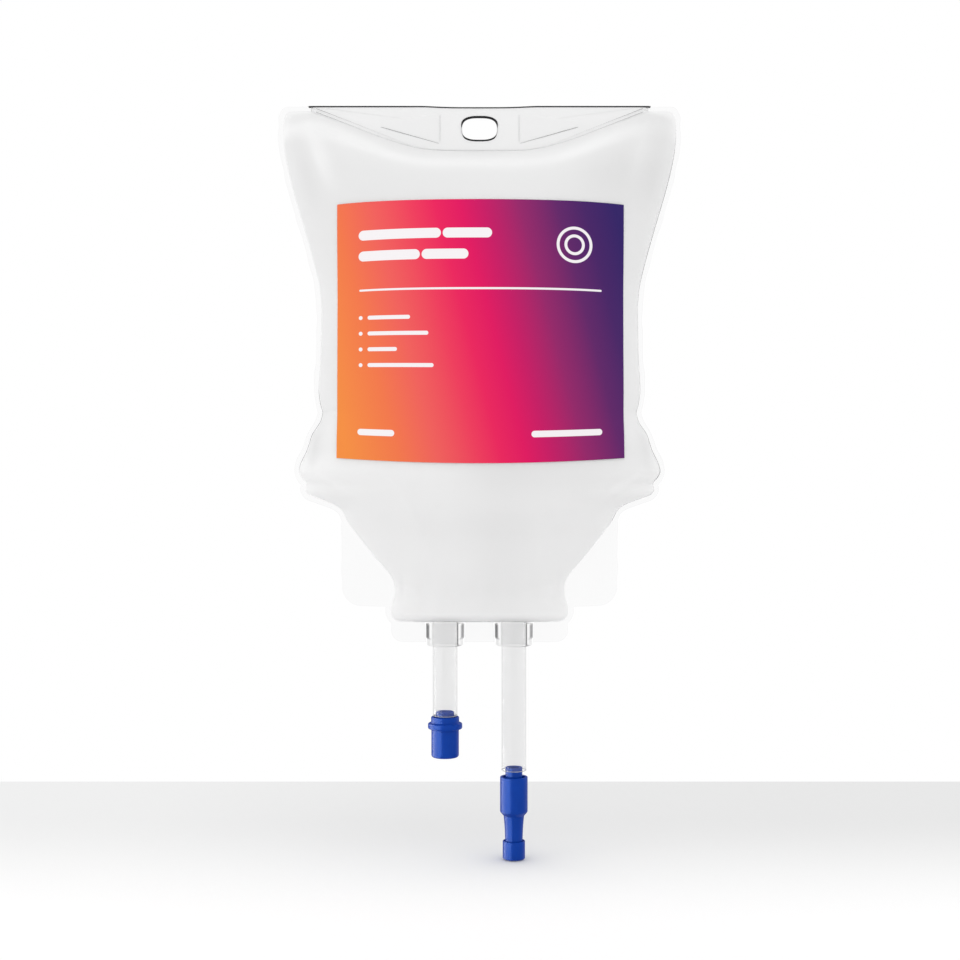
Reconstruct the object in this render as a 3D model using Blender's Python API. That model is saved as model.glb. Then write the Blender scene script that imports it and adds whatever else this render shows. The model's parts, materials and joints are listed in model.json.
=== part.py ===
"""A one-litre intravenous fluid bag, filled and hanging: a sealed film bag with
a hanger tab, a stuck-on label, and two port tubes with their blue closures.

The origin is where the hook bears, on the top wall of the hanger slot. X runs
across the bag, the labelled front faces -Y, and Z points up. Lengths are metres.
Every height below is a drop from the origin, or a length from the piece above.
"""

import math

import bmesh
import bpy
import numpy as np

# Fits between pieces
SEAT_GAP = 0.0003
COVER_CLEARANCE = 0.0002

# Film, and the hanger tab that is welded from it
FILM_THICKNESS = 0.0005
FILM_MARGIN = 0.0026
TAB_THICKNESS = 0.0010
TAB_ABOVE_SLOT = 0.0048
TAB_DIP = 0.0008
TAB_DIP_HALF_WIDTH = 0.0240
SLOT_WIDTH = 0.0140
SLOT_HEIGHT = 0.0088
SLOT_CORNER_RADIUS = 0.0042
EMBOSS_HEIGHT = 0.00025
EMBOSS_INNER_X = 0.0156
EMBOSS_LENGTH = 0.0248
EMBOSS_ABOVE_SEAM = 0.0018
EMBOSS_CORNER_RADIUS = 0.0012

# Seam between the tab and the fluid: level in the middle, then rising to the ears
SEAM_BELOW_SLOT = 0.0042
SEAM_FLAT_HALF_WIDTH = 0.0239
SEAM_BEND = 0.0038
SEAM_SAG_REACH = 0.0710

# Side outline of the filled body: half widths, and the drops between them
EAR_RADIUS = 0.0096
EAR_BELOW_TAB_TOP = 0.0005
EAR_INSET = 0.0033
SHOULDER_HALF_WIDTH = 0.0783
WAIST_HALF_WIDTH = 0.0627
SIDE_SWELL = 0.0011
PINCH_HALF_WIDTH = 0.0626
ELBOW_HALF_WIDTH = 0.0717
NOTCH_HALF_WIDTH = 0.0692
HIP_HALF_WIDTH = 0.0562
NECK_HALF_WIDTH = 0.0335
FOOT_HALF_WIDTH = 0.0354
BASE_HALF_WIDTH = 0.0336
EAR_TO_SHOULDER = 0.0072
SHOULDER_TO_WAIST = 0.0772
WAIST_TO_PINCH = 0.0360
PINCH_TO_ELBOW = 0.0226
ELBOW_TO_NOTCH = 0.0064
NOTCH_TO_HIP = 0.0080
HIP_TO_NECK = 0.0338
NECK_TO_FOOT = 0.0080
FOOT_TO_BASE = 0.0042

# Depth of the filled body, from the middle plane to the front or back
BELLY_HALF_DEPTH = 0.0340
SECTION_FULLNESS = 2.4
SECTION_ROUNDNESS = 0.58
FOOT_OVER_PORTS = 0.0005

# Soft folds in the filled body: how far each stands proud, or is sunk, and its half width
ROLL_BELOW_SEAM = 0.0085
ROLL_HEIGHT = 0.0011
ROLL_HALF_WIDTH = 0.0042
SHOULDER_FOLD_HEIGHT = 0.0016
SHOULDER_FOLD_HALF_WIDTH = 0.0058
ELBOW_CREASE_DEPTH = 0.0016
ELBOW_CREASE_HALF_WIDTH = 0.0036
FUNNEL_FOLD_HEIGHT = 0.0018
FUNNEL_FOLD_HALF_WIDTH = 0.0062
NECK_TUCK_DEPTH = 0.0012
NECK_TUCK_HALF_WIDTH = 0.0050
FOLD_EASE = 0.0040

# Clear film below the body: the corner flaps and the strip that the ports cross
FLAP_HALF_WIDTH = 0.0555
FLAP_ABOVE_BASE = 0.0062
FLAP_CORNER_RADIUS = 0.0080
LAND_HALF_WIDTH = 0.0357
LAND_HEIGHT = 0.0082
LAND_CORNER_RADIUS = 0.0050

# Label on the front
LABEL_INSIDE_WAIST = 0.0067
LABEL_BELOW_SLOT = 0.0378
LABEL_HEIGHT = 0.0985
LABEL_TOP_BOW = 0.0006
LABEL_BOTTOM_BOW = 0.0021
LABEL_THICKNESS = 0.00015

# Ports: collars in the land, and the tubes through them
PORT_HALF_SPACING = 0.01375
TUBE_DIAMETER = 0.0100
TUBE_WALL = 0.0013
TUBE_INTO_BAG = 0.0058
COLLAR_TOP_DIAMETER = 0.0157
COLLAR_BOTTOM_DIAMETER = 0.0145
COLLAR_HEIGHT = 0.0089
COLLAR_EDGE_RADIUS = 0.0005
INJECTION_TUBE_BELOW_COLLAR = 0.0281
SPIKE_TUBE_BELOW_COLLAR = 0.0499

# Injection closure, bonded in its tube, with a rubber septum at its mouth
SPIGOT_IN_TUBE = 0.0018
SPIGOT_BORE_DIAMETER = 0.0032
RIM_DIAMETER = 0.0112
RIM_WALL = 0.0011
RIM_GROOVE_DEPTH = 0.0030
RIM_HEIGHT = 0.0025
RING_DIAMETER = 0.0137
RING_THICKNESS = 0.0024
RING_STEP = 0.0004
CLOSURE_DIAMETER = 0.0110
CLOSURE_BARREL_HEIGHT = 0.0110
CLOSURE_EDGE_RADIUS = 0.0010
SEPTUM_DIAMETER = 0.0076
SEPTUM_HEIGHT = 0.0032
SEPTUM_FACE_DIAMETER = 0.0058
SEPTUM_RECESS = 0.0002
SEPTUM_LIP = 0.0010

# Spike port: a stub with a pierceable web across its bore, under a pull-off cover
STUB_IN_TUBE = 0.0013
STUB_WALL = 0.0008
STUB_WEB = 0.0006
STUB_WEB_DROP = 0.0080
STUB_BELOW_TUBE = 0.0145
COVER_BELOW_TUBE = 0.0025
COVER_DIAMETER = 0.0110
COVER_RIM_WALL = 0.0010
COVER_RIM_DEPTH = 0.0050
COVER_BARREL_PAST_STUB = 0.0020
COVER_SHOULDER_HEIGHT = 0.0016
COVER_FLOOR_ROOM = 0.0026
COVER_NECK_TOP_DIAMETER = 0.0082
COVER_NECK_DIAMETER = 0.0070
COVER_NECK_HEIGHT = 0.0100
COVER_FOOT_DIAMETER = 0.0089
COVER_FOOT_HEIGHT = 0.0073
COVER_FOOT_GROOVE_WIDTH = 0.00045
COVER_FOOT_GROOVE_DEPTH = 0.0008
EDGE_RADIUS = 0.0003

# Fineness of the faceted surfaces
TURN_SEGMENTS = 24
ARC_STEPS = 3
BODY_COLUMNS = 30
LABEL_COLUMNS = 24
LABEL_ROWS = 12
OUTLINE_STEP = 0.0022

# Places that follow from the sizes above
TAB_TOP = TAB_ABOVE_SLOT
SEAM_MIDDLE = -(SLOT_HEIGHT + SEAM_BELOW_SLOT)
EAR_TOP = TAB_TOP - EAR_BELOW_TAB_TOP
EAR_HALF_WIDTH = SHOULDER_HALF_WIDTH - EAR_INSET
EAR_LEVEL = EAR_TOP - EAR_RADIUS + math.sqrt(EAR_RADIUS**2 - (EAR_RADIUS - EAR_INSET) ** 2)
SHOULDER_LEVEL = EAR_LEVEL - EAR_TO_SHOULDER
WAIST_LEVEL = SHOULDER_LEVEL - SHOULDER_TO_WAIST
PINCH_LEVEL = WAIST_LEVEL - WAIST_TO_PINCH
ELBOW_LEVEL = PINCH_LEVEL - PINCH_TO_ELBOW
NOTCH_LEVEL = ELBOW_LEVEL - ELBOW_TO_NOTCH
HIP_LEVEL = NOTCH_LEVEL - NOTCH_TO_HIP
NECK_LEVEL = HIP_LEVEL - HIP_TO_NECK
FOOT_LEVEL = NECK_LEVEL - NECK_TO_FOOT
BASE_LEVEL = FOOT_LEVEL - FOOT_TO_BASE
TAB_HALF_WIDTH = SHOULDER_HALF_WIDTH - EAR_RADIUS
SEAM_RISE_PER_WIDTH = (EAR_TOP - SEAM_MIDDLE) / (TAB_HALF_WIDTH - SEAM_FLAT_HALF_WIDTH)
LABEL_HALF_WIDTH = WAIST_HALF_WIDTH - LABEL_INSIDE_WAIST
LAND_BOTTOM = BASE_LEVEL - LAND_HEIGHT
TUBE_RADIUS = TUBE_DIAMETER / 2
TUBE_BORE_RADIUS = TUBE_RADIUS - TUBE_WALL
SPIGOT_RADIUS = TUBE_BORE_RADIUS - SEAT_GAP
COLLAR_SEAT = BASE_LEVEL - SEAT_GAP
COLLAR_TOP = COLLAR_SEAT - SEAT_GAP
COLLAR_BOTTOM = COLLAR_TOP - COLLAR_HEIGHT
TUNNEL_TOP_RADIUS = COLLAR_TOP_DIAMETER / 2 + SEAT_GAP + FILM_THICKNESS
FOOT_HALF_DEPTH = TUNNEL_TOP_RADIUS + FOOT_OVER_PORTS
TUBE_TOP = COLLAR_TOP + TUBE_INTO_BAG
INJECTION_TUBE_BOTTOM = COLLAR_BOTTOM - INJECTION_TUBE_BELOW_COLLAR
SPIKE_TUBE_BOTTOM = COLLAR_BOTTOM - SPIKE_TUBE_BELOW_COLLAR


def side_stations():
    """Level, half width and half depth of the filled body, from the ears down."""
    belly = BELLY_HALF_DEPTH
    upper = SHOULDER_TO_WAIST
    funnel_end = HIP_LEVEL - 0.80 * HIP_TO_NECK
    funnel_end_width = NECK_HALF_WIDTH + 0.11 * (HIP_HALF_WIDTH - NECK_HALF_WIDTH)
    return np.array([
        (EAR_LEVEL, EAR_HALF_WIDTH, 0.0),
        (SHOULDER_LEVEL, SHOULDER_HALF_WIDTH, 0.27 * belly),
        (SHOULDER_LEVEL - 0.20 * upper, mix(SHOULDER_HALF_WIDTH, WAIST_HALF_WIDTH, 0.12), 0.60 * belly),
        (SHOULDER_LEVEL - 0.50 * upper, mix(SHOULDER_HALF_WIDTH, WAIST_HALF_WIDTH, 0.52), 0.84 * belly),
        (WAIST_LEVEL, WAIST_HALF_WIDTH, 0.98 * belly),
        (WAIST_LEVEL - 0.75 * WAIST_TO_PINCH, WAIST_HALF_WIDTH + SIDE_SWELL, belly),
        (PINCH_LEVEL, PINCH_HALF_WIDTH, 0.99 * belly),
        (PINCH_LEVEL - 0.34 * PINCH_TO_ELBOW, mix(PINCH_HALF_WIDTH, ELBOW_HALF_WIDTH, 0.40), 0.98 * belly),
        (ELBOW_LEVEL, ELBOW_HALF_WIDTH, 0.94 * belly),
        (NOTCH_LEVEL, NOTCH_HALF_WIDTH, 0.89 * belly),
        (HIP_LEVEL, HIP_HALF_WIDTH, 0.81 * belly),
        (funnel_end, funnel_end_width, mix(FOOT_HALF_DEPTH, belly, 0.22)),
        (NECK_LEVEL, NECK_HALF_WIDTH, mix(FOOT_HALF_DEPTH, belly, 0.09)),
        (FOOT_LEVEL, FOOT_HALF_WIDTH, FOOT_HALF_DEPTH),
        (BASE_LEVEL, BASE_HALF_WIDTH, 0.0),
    ])


def mix(first, second, share):
    """The value that lies the given share of the way from the first to the second."""
    return first + (second - first) * share


def smooth_through(stations, values, at):
    """A smooth curve through the stations that never overshoots them.

    It is a cubic between neighbours. The slope at an inner station is the harmonic
    mean of the slopes on its two sides, or level where they differ in sign.
    """
    step = np.diff(stations)
    rise = np.diff(values) / step
    same_way = rise[:-1] * rise[1:] > 0
    slope = np.concatenate([rise[:1], np.zeros(len(rise) - 1), rise[-1:]])
    inner = 2 * rise[:-1] * rise[1:] / np.where(same_way, rise[:-1] + rise[1:], 1.0)
    slope[1:-1] = np.where(same_way, inner, 0.0)
    place = np.clip(np.searchsorted(stations, at) - 1, 0, len(step) - 1)
    t = (at - stations[place]) / step[place]
    from_start = (1 + 2 * t) * (1 - t) ** 2 * values[place] + t * (1 - t) ** 2 * step[place] * slope[place]
    from_end = t**2 * (3 - 2 * t) * values[place + 1] - t**2 * (1 - t) * step[place] * slope[place + 1]
    return from_start + from_end


def side_half_width(level):
    """Half width of the filled body where its side is at this level."""
    stations = side_stations()[::-1]
    return smooth_through(stations[:, 0], stations[:, 1], level)


def middle_half_depth(level):
    """Half depth at the middle of the row whose side is at this level, blunt below the foot."""
    stations = side_stations()[::-1]
    smooth = smooth_through(stations[1:, 0], stations[1:, 2], np.maximum(level, FOOT_LEVEL))
    below = np.clip((FOOT_LEVEL - level) / FOOT_TO_BASE, 0, 1)
    return smooth * np.sqrt(1 - below**2)


def seam_height(x):
    """Height of the tab's lower seam: level in the middle, bending to a straight rise."""
    past = (np.abs(x) - SEAM_FLAT_HALF_WIDTH) / SEAM_BEND
    return SEAM_MIDDLE + SEAM_RISE_PER_WIDTH * SEAM_BEND * np.logaddexp(0, past)


def top_height(x):
    """Height of the filled body's top edge: the seam, turned over at the round ears."""
    past_centre = np.abs(x) - (SHOULDER_HALF_WIDTH - EAR_RADIUS)
    past_centre = np.clip(past_centre, 0, EAR_RADIUS - EAR_INSET)
    ear = EAR_TOP - EAR_RADIUS + np.sqrt(EAR_RADIUS**2 - past_centre**2)
    return np.minimum(seam_height(x), ear)


def fold(x, level, start, end, height, half_width):
    """A soft fold down one side, and its mirror image down the other.

    Its line glides from start to end, both (place across, level), and bends as a
    square. Its height swells and fades along the line as a squared sine, and falls
    off across it as a bell.
    """
    along = np.clip((start[1] - level) / (start[1] - end[1]), 0, 1)
    line = mix(end[0], start[0], (1 - along) ** 2)
    bell = np.exp(-(((np.abs(x) - line) / half_width) ** 2))
    return height * np.sin(math.pi * along) ** 2 * bell


def soft_folds(x, level):
    """Height of all the soft folds over the plain swell of the filled body.

    A roll follows the seam. On each side a fold runs down from the ear, a crease from
    the pinch past the elbow, and a fold down the funnel, and the neck is tucked in
    between its two folds.
    """
    roll = ROLL_HEIGHT * np.exp(-(((EAR_LEVEL - ROLL_BELOW_SEAM - level) / ROLL_HALF_WIDTH) ** 2))
    shoulder = fold(
        x, level,
        (EAR_HALF_WIDTH - SHOULDER_FOLD_HALF_WIDTH, EAR_LEVEL),
        (LABEL_HALF_WIDTH + SHOULDER_FOLD_HALF_WIDTH / 2, mix(SHOULDER_LEVEL, WAIST_LEVEL, 0.62)),
        SHOULDER_FOLD_HEIGHT, SHOULDER_FOLD_HALF_WIDTH,
    )
    elbow = fold(
        x, level,
        (PINCH_HALF_WIDTH - ELBOW_CREASE_HALF_WIDTH / 2, mix(PINCH_LEVEL, WAIST_LEVEL, 0.20)),
        (NOTCH_HALF_WIDTH - ELBOW_CREASE_HALF_WIDTH, HIP_LEVEL),
        -ELBOW_CREASE_DEPTH, ELBOW_CREASE_HALF_WIDTH,
    )
    funnel = fold(
        x, level,
        (mix(0, ELBOW_HALF_WIDTH, 0.53), ELBOW_LEVEL),
        (mix(0, NECK_HALF_WIDTH, 0.70), FOOT_LEVEL),
        FUNNEL_FOLD_HEIGHT, FUNNEL_FOLD_HALF_WIDTH,
    )
    neck = fold(
        x, level,
        (0, mix(NECK_LEVEL, HIP_LEVEL, 0.40)),
        (0, FOOT_LEVEL),
        -NECK_TUCK_DEPTH, NECK_TUCK_HALF_WIDTH,
    )
    return roll + shoulder + elbow + funnel + neck


def body_surface(share, level):
    """Place and half depth of the filled body.

    share runs from -1 to 1 across a row, and level is the height of the row's side.
    A row sags to the seam's curve at the top and straightens as it goes down. The
    swell falls from the middle of a row to nothing at its side, as a rounded power
    of the share, and the folds lie on it, eased to nothing where it is thin.
    """
    x = share * side_half_width(level)
    sag = top_height(share * EAR_HALF_WIDTH) - EAR_LEVEL
    fade = np.clip(1 - (EAR_LEVEL - level) / SEAM_SAG_REACH, 0, 1) ** 2
    section = (1 - np.abs(share) ** SECTION_FULLNESS) ** SECTION_ROUNDNESS
    swell = middle_half_depth(level) * section
    depth = swell + soft_folds(x, level) * swell / (swell + FOLD_EASE)
    return x, depth, level + sag * fade


def body_depth_at(x, z):
    """Half depth of the filled body at a place on the middle plane, found by repeated guesses."""
    level = np.array(z, dtype=float)
    for _ in range(40):
        share = np.clip(x / side_half_width(level), -1, 1)
        _, depth, height = body_surface(share, level)
        level = np.clip(level + 0.7 * (z - height), BASE_LEVEL, EAR_LEVEL)
    return depth


def body_levels():
    """Levels of the rows: a few for each stretch of the side, closer where it turns."""
    below_roll = EAR_LEVEL - ROLL_BELOW_SEAM - 2 * ROLL_HALF_WIDTH
    stretches = (
        (EAR_LEVEL, below_roll, 9),
        (below_roll, WAIST_LEVEL, 8),
        (WAIST_LEVEL, PINCH_LEVEL, 4),
        (PINCH_LEVEL, ELBOW_LEVEL, 5),
        (ELBOW_LEVEL, NOTCH_LEVEL, 3),
        (NOTCH_LEVEL, HIP_LEVEL, 3),
        (HIP_LEVEL, NECK_LEVEL, 7),
        (NECK_LEVEL, FOOT_LEVEL, 3),
    )
    rows = [np.linspace(start, end, count, endpoint=False) for start, end, count in stretches]
    foot = FOOT_LEVEL - FOOT_TO_BASE * np.sin(np.linspace(0, math.pi / 2, 5))
    return np.concatenate(rows + [foot])


def rounded_path(corners, closed=True):
    """Points along straight runs whose corners are rounded.

    A corner is (a, b) or (a, b, radius). Its arc touches both runs, and its radius is
    limited so that it takes less than half of the shorter run.
    """
    points = []
    count = len(corners)
    for index, corner in enumerate(corners):
        place = np.array(corner[:2], dtype=float)
        at_end = not closed and index in (0, count - 1)
        if len(corner) < 3 or at_end:
            points.append(place)
            continue
        before = np.array(corners[index - 1][:2]) - place
        after = np.array(corners[(index + 1) % count][:2]) - place
        shorter = min(np.linalg.norm(before), np.linalg.norm(after))
        before /= np.linalg.norm(before)
        after /= np.linalg.norm(after)
        half_angle = math.acos(np.clip(before @ after, -1, 1)) / 2
        radius = min(corner[2], 0.48 * shorter * math.tan(half_angle))
        middle = before + after
        centre = place + middle / np.linalg.norm(middle) * radius / math.sin(half_angle)
        start = place + before * radius / math.tan(half_angle) - centre
        end = place + after * radius / math.tan(half_angle) - centre
        turn = math.atan2(start[0] * end[1] - start[1] * end[0], start @ end)
        for step in range(ARC_STEPS + 1):
            angle = turn * step / ARC_STEPS
            cosine, sine = math.cos(angle), math.sin(angle)
            spoke = (start[0] * cosine - start[1] * sine, start[0] * sine + start[1] * cosine)
            points.append(centre + np.array(spoke))
    return np.array(points)


def add_object(name, mesh, material, location=(0, 0, 0)):
    """Put a mesh into the scene as a named object, smooth but for its sharp edges."""
    mesh.shade_smooth()
    mesh.set_sharp_from_angle(angle=math.radians(32))
    if material is not None:
        mesh.materials.append(material)
    piece = bpy.data.objects.new(name, mesh)
    piece.location = location
    bpy.context.scene.collection.objects.link(piece)
    return piece


def closed_mesh(name, points, faces):
    """A mesh from points and faces, with doubled points merged and faces pointing out."""
    mesh = bpy.data.meshes.new(name)
    mesh.from_pydata([tuple(point) for point in points], [], faces)
    shape = bmesh.new()
    shape.from_mesh(mesh)
    bmesh.ops.remove_doubles(shape, verts=shape.verts, dist=0.000001)
    bmesh.ops.recalc_face_normals(shape, faces=shape.faces)
    shape.to_mesh(mesh)
    shape.free()
    return mesh


def plate(name, outline, thickness, material=None):
    """A flat plate in the middle plane, from its outline of (x, z) points."""
    count = len(outline)
    front = [(x, -thickness / 2, z) for x, z in outline]
    back = [(x, thickness / 2, z) for x, z in outline]
    walls = [(i, (i + 1) % count, count + (i + 1) % count, count + i) for i in range(count)]
    faces = [tuple(range(count)), tuple(range(2 * count - 1, count - 1, -1))] + walls
    return add_object(name, closed_mesh(name, front + back, faces), material)


def turned(name, profile, centre_x, base, material=None):
    """A solid turned about a vertical axis from a profile of (radius, height) points.

    The profile either closes on itself as a ring or starts and ends on the axis. base is
    the height of the object's own origin on that axis.
    """
    profile = np.array(profile)
    angles = np.arange(TURN_SEGMENTS) * 2 * math.pi / TURN_SEGMENTS
    rows = [
        [(radius * math.cos(angle), radius * math.sin(angle), height - base) for angle in angles]
        for radius, height in profile
    ]
    on_axis = profile[0, 0] == 0
    runs = len(rows) - 1 if on_axis else len(rows)
    points = [point for row in rows for point in row]
    faces = []
    for run in range(runs):
        this_row = run * TURN_SEGMENTS
        next_row = (run + 1) % len(rows) * TURN_SEGMENTS
        for spoke in range(TURN_SEGMENTS):
            after = (spoke + 1) % TURN_SEGMENTS
            quad = [this_row + spoke, this_row + after, next_row + after, next_row + spoke]
            if profile[run, 0] == 0:
                quad = [this_row, next_row + after, next_row + spoke]
            elif profile[(run + 1) % len(rows), 0] == 0:
                quad = [this_row + spoke, this_row + after, next_row]
            faces.append(quad)
    used = sorted({index for face in faces for index in face})
    place = {old: new for new, old in enumerate(used)}
    points = [points[index] for index in used]
    faces = [tuple(place[index] for index in face) for face in faces]
    return add_object(name, closed_mesh(name, points, faces), material, (centre_x, 0, base))


def filled_body(material):
    """The filled body: a front and a back grid that meet along its edge."""
    share = np.sin(np.linspace(-math.pi / 2, math.pi / 2, BODY_COLUMNS + 1))
    share[[0, -1]] = (-1, 1)
    grid_share, grid_level = np.meshgrid(share, body_levels())
    x, depth, z = body_surface(grid_share, grid_level)
    rows, columns = x.shape
    front = np.stack([x, -depth, z], axis=-1).reshape(-1, 3)
    back = np.stack([x, depth, z], axis=-1).reshape(-1, 3)
    faces = []
    for row in range(rows - 1):
        for column in range(columns - 1):
            first = row * columns + column
            quad = (first, first + 1, first + columns + 1, first + columns)
            faces.append(quad)
            faces.append(tuple(index + rows * columns for index in reversed(quad)))
    return add_object("bag", closed_mesh("bag", np.concatenate([front, back]), faces), material)


def tab_top_height(x):
    """Height of the tab's top edge, which dips a little in the middle."""
    inside = np.clip(np.abs(x) / TAB_DIP_HALF_WIDTH, 0, 1)
    return TAB_TOP - TAB_DIP * (1 + np.cos(math.pi * inside**2)) / 2


def film_half_width(height):
    """Half width of the film: the body grown by the margin, the corner flaps and the land.

    The body is grown by a round margin, as far as any point of its outline reaches.
    """
    level = np.linspace(BASE_LEVEL, EAR_LEVEL, 400)
    ear_x = np.linspace(SHOULDER_HALF_WIDTH - EAR_RADIUS, EAR_HALF_WIDTH, 20)
    outline_x = np.concatenate([side_half_width(level), ear_x])
    outline_z = np.concatenate([level, top_height(ear_x)])
    reach = FILM_MARGIN**2 - (outline_z - height) ** 2
    grown = np.where(reach >= 0, outline_x + np.sqrt(np.maximum(reach, 0)), 0).max()
    return max(grown, flap_half_width(height), land_half_width(height))


def round_ended(height, bottom, half_width, radius):
    """Half width of a strip with straight sides and round lower corners, or 0 below it."""
    if height < bottom:
        return 0.0
    into_corner = min(max(bottom + radius - height, 0.0), radius)
    return half_width - radius + math.sqrt(radius**2 - into_corner**2)


def flap_half_width(height):
    """Half width of the clear corner flaps beside the funnel."""
    if height > NOTCH_LEVEL:
        return 0.0
    return round_ended(height, BASE_LEVEL + FLAP_ABOVE_BASE, FLAP_HALF_WIDTH, FLAP_CORNER_RADIUS)


def land_half_width(height):
    """Half width of the clear strip under the body."""
    if height > FOOT_LEVEL:
        return 0.0
    return round_ended(height, LAND_BOTTOM, LAND_HALF_WIDTH, LAND_CORNER_RADIUS)


def film_outline():
    """Outline of the clear film, which ends just inside the tab's top edge."""
    film_top = TAB_TOP - SEAT_GAP
    heights = np.linspace(film_top, LAND_BOTTOM, int((film_top - LAND_BOTTOM) / OUTLINE_STEP))
    right = [(film_half_width(height), height) for height in heights]
    top_x = np.linspace(-TAB_HALF_WIDTH, TAB_HALF_WIDTH, 25)
    top = [(x, tab_top_height(x) - SEAT_GAP) for x in top_x]
    left = [(-x, z) for x, z in reversed(right)]
    return top + right + left


def tab_outline():
    """Outline of the hanger tab: the dipped top edge, and the seam below."""
    x = np.linspace(-TAB_HALF_WIDTH, TAB_HALF_WIDTH, 41)
    top = list(zip(x, tab_top_height(x)))
    seam = list(zip(x[::-1], seam_height(x[::-1])))
    return top + seam


def slot_outline():
    """The hanger slot: a rounded rectangle whose top wall lies at the origin."""
    half = SLOT_WIDTH / 2
    radius = SLOT_CORNER_RADIUS
    low = -SLOT_HEIGHT
    return rounded_path([(-half, 0, radius), (half, 0, radius), (half, low, radius), (-half, low, radius)])


def emboss_outline(side):
    """One raised panel beside the slot, whose lower edge follows the seam.

    side is 1 for the right panel and -1 for the left one.
    """
    inner = EMBOSS_INNER_X
    outer = inner + EMBOSS_LENGTH
    lift = EMBOSS_ABOVE_SEAM
    top = 0.15 * TAB_TOP
    corners = (
        (inner, top),
        (inner, seam_height(inner) + lift),
        (outer, seam_height(outer) + lift),
        (outer, mix(seam_height(outer) + lift, top, 0.55)),
        (mix(inner, outer, 0.40), top),
    )
    radius = EMBOSS_CORNER_RADIUS
    return rounded_path([(side * x, float(z), radius) for x, z in corners])


def port_tunnel(name, centre_x):
    """Film drawn round a collar, from inside the body's foot to the land's bottom edge."""
    profile = [
        (0, FOOT_LEVEL),
        (TUNNEL_TOP_RADIUS, FOOT_LEVEL),
        (TUNNEL_TOP_RADIUS, COLLAR_SEAT),
        (collar_radius(LAND_BOTTOM) + SEAT_GAP + FILM_THICKNESS, LAND_BOTTOM),
        (0, LAND_BOTTOM),
    ]
    return turned(name, profile, centre_x, 0)


def collar_radius(height):
    """Outer radius of a collar at this height, along its taper."""
    down = (COLLAR_TOP - height) / COLLAR_HEIGHT
    return mix(COLLAR_TOP_DIAMETER, COLLAR_BOTTOM_DIAMETER, down) / 2


def port_bore(name, centre_x):
    """Room for a port: the collar's taper below its seat, and the tube's blind hole above."""
    hole = TUBE_RADIUS + SEAT_GAP
    past_land = LAND_BOTTOM - COLLAR_EDGE_RADIUS
    profile = [
        (0, TUBE_TOP + SEAT_GAP),
        (hole, TUBE_TOP + SEAT_GAP),
        (hole, COLLAR_SEAT),
        (collar_radius(COLLAR_SEAT) + SEAT_GAP, COLLAR_SEAT),
        (collar_radius(past_land) + SEAT_GAP, past_land),
        (0, past_land),
    ]
    return turned(name, profile, centre_x, 0)


def combine(piece, other, operation):
    """Join another solid to a piece, or cut it out, and hide that solid."""
    other.hide_render = True
    other.display_type = "WIRE"
    step = piece.modifiers.new(f"{operation.lower()} {other.name}", "BOOLEAN")
    step.operation = operation
    step.solver = "EXACT"
    step.object = other


def build_bag(material):
    """The sealed bag: body, film, tab, raised panels and port tunnels in one solid."""
    bag = filled_body(material)
    combine(bag, plate("film_sheet", film_outline(), FILM_THICKNESS), "UNION")
    combine(bag, plate("tab_sheet", tab_outline(), TAB_THICKNESS), "UNION")
    raised = TAB_THICKNESS + 2 * EMBOSS_HEIGHT
    combine(bag, plate("raised_panel_left", emboss_outline(-1), raised), "UNION")
    combine(bag, plate("raised_panel_right", emboss_outline(1), raised), "UNION")
    combine(bag, port_tunnel("tunnel_left", -PORT_HALF_SPACING), "UNION")
    combine(bag, port_tunnel("tunnel_right", PORT_HALF_SPACING), "UNION")
    combine(bag, port_bore("port_bore_left", -PORT_HALF_SPACING), "DIFFERENCE")
    combine(bag, port_bore("port_bore_right", PORT_HALF_SPACING), "DIFFERENCE")
    combine(bag, plate("slot_cut", slot_outline(), 3 * raised), "DIFFERENCE")
    return bag


def label_layer(distance):
    """A grid of points in front of the body, at this distance along its surface normal.

    Its columns lie closer at the sides, where the body turns away.
    """
    across = np.sin(np.linspace(-1, 1, LABEL_COLUMNS + 1)) / math.sin(1)
    down = np.linspace(0, 1, LABEL_ROWS + 1)
    share, drop = np.meshgrid(across, down)
    bow = 1 - share**2
    x = share * LABEL_HALF_WIDTH
    top = -LABEL_BELOW_SLOT + LABEL_TOP_BOW * bow
    bottom = -LABEL_BELOW_SLOT - LABEL_HEIGHT - LABEL_BOTTOM_BOW * bow
    z = mix(top, bottom, drop)
    near = 0.0005
    slope_x = (body_depth_at(x + near, z) - body_depth_at(x - near, z)) / (2 * near)
    slope_z = (body_depth_at(x, z + near) - body_depth_at(x, z - near)) / (2 * near)
    stretch = distance / np.sqrt(1 + slope_x**2 + slope_z**2)
    depth = body_depth_at(x, z)
    layer = np.stack([x - slope_x * stretch, -depth - stretch, z - slope_z * stretch], axis=-1)
    return layer.reshape(-1, 3)


def build_label(material):
    """The label: a thin sheet that lies on the body's front."""
    inner = label_layer(SEAT_GAP)
    outer = label_layer(SEAT_GAP + LABEL_THICKNESS)
    columns = LABEL_COLUMNS + 1
    count = len(inner)
    faces = []
    for row in range(LABEL_ROWS):
        for column in range(LABEL_COLUMNS):
            first = row * columns + column
            quad = (first, first + 1, first + columns + 1, first + columns)
            faces.append(quad)
            faces.append(tuple(index + count for index in reversed(quad)))
    top = list(range(columns))
    right = [row * columns + LABEL_COLUMNS for row in range(LABEL_ROWS + 1)]
    bottom = [LABEL_ROWS * columns + column for column in range(LABEL_COLUMNS, -1, -1)]
    left = [row * columns for row in range(LABEL_ROWS, -1, -1)]
    rim = top + right[1:] + bottom[1:] + left[1:-1]
    for start, end in zip(rim, rim[1:] + rim[:1]):
        faces.append((start, end, end + count, start + count))
    return add_object("label", closed_mesh("label", np.concatenate([inner, outer]), faces), material)


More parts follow.
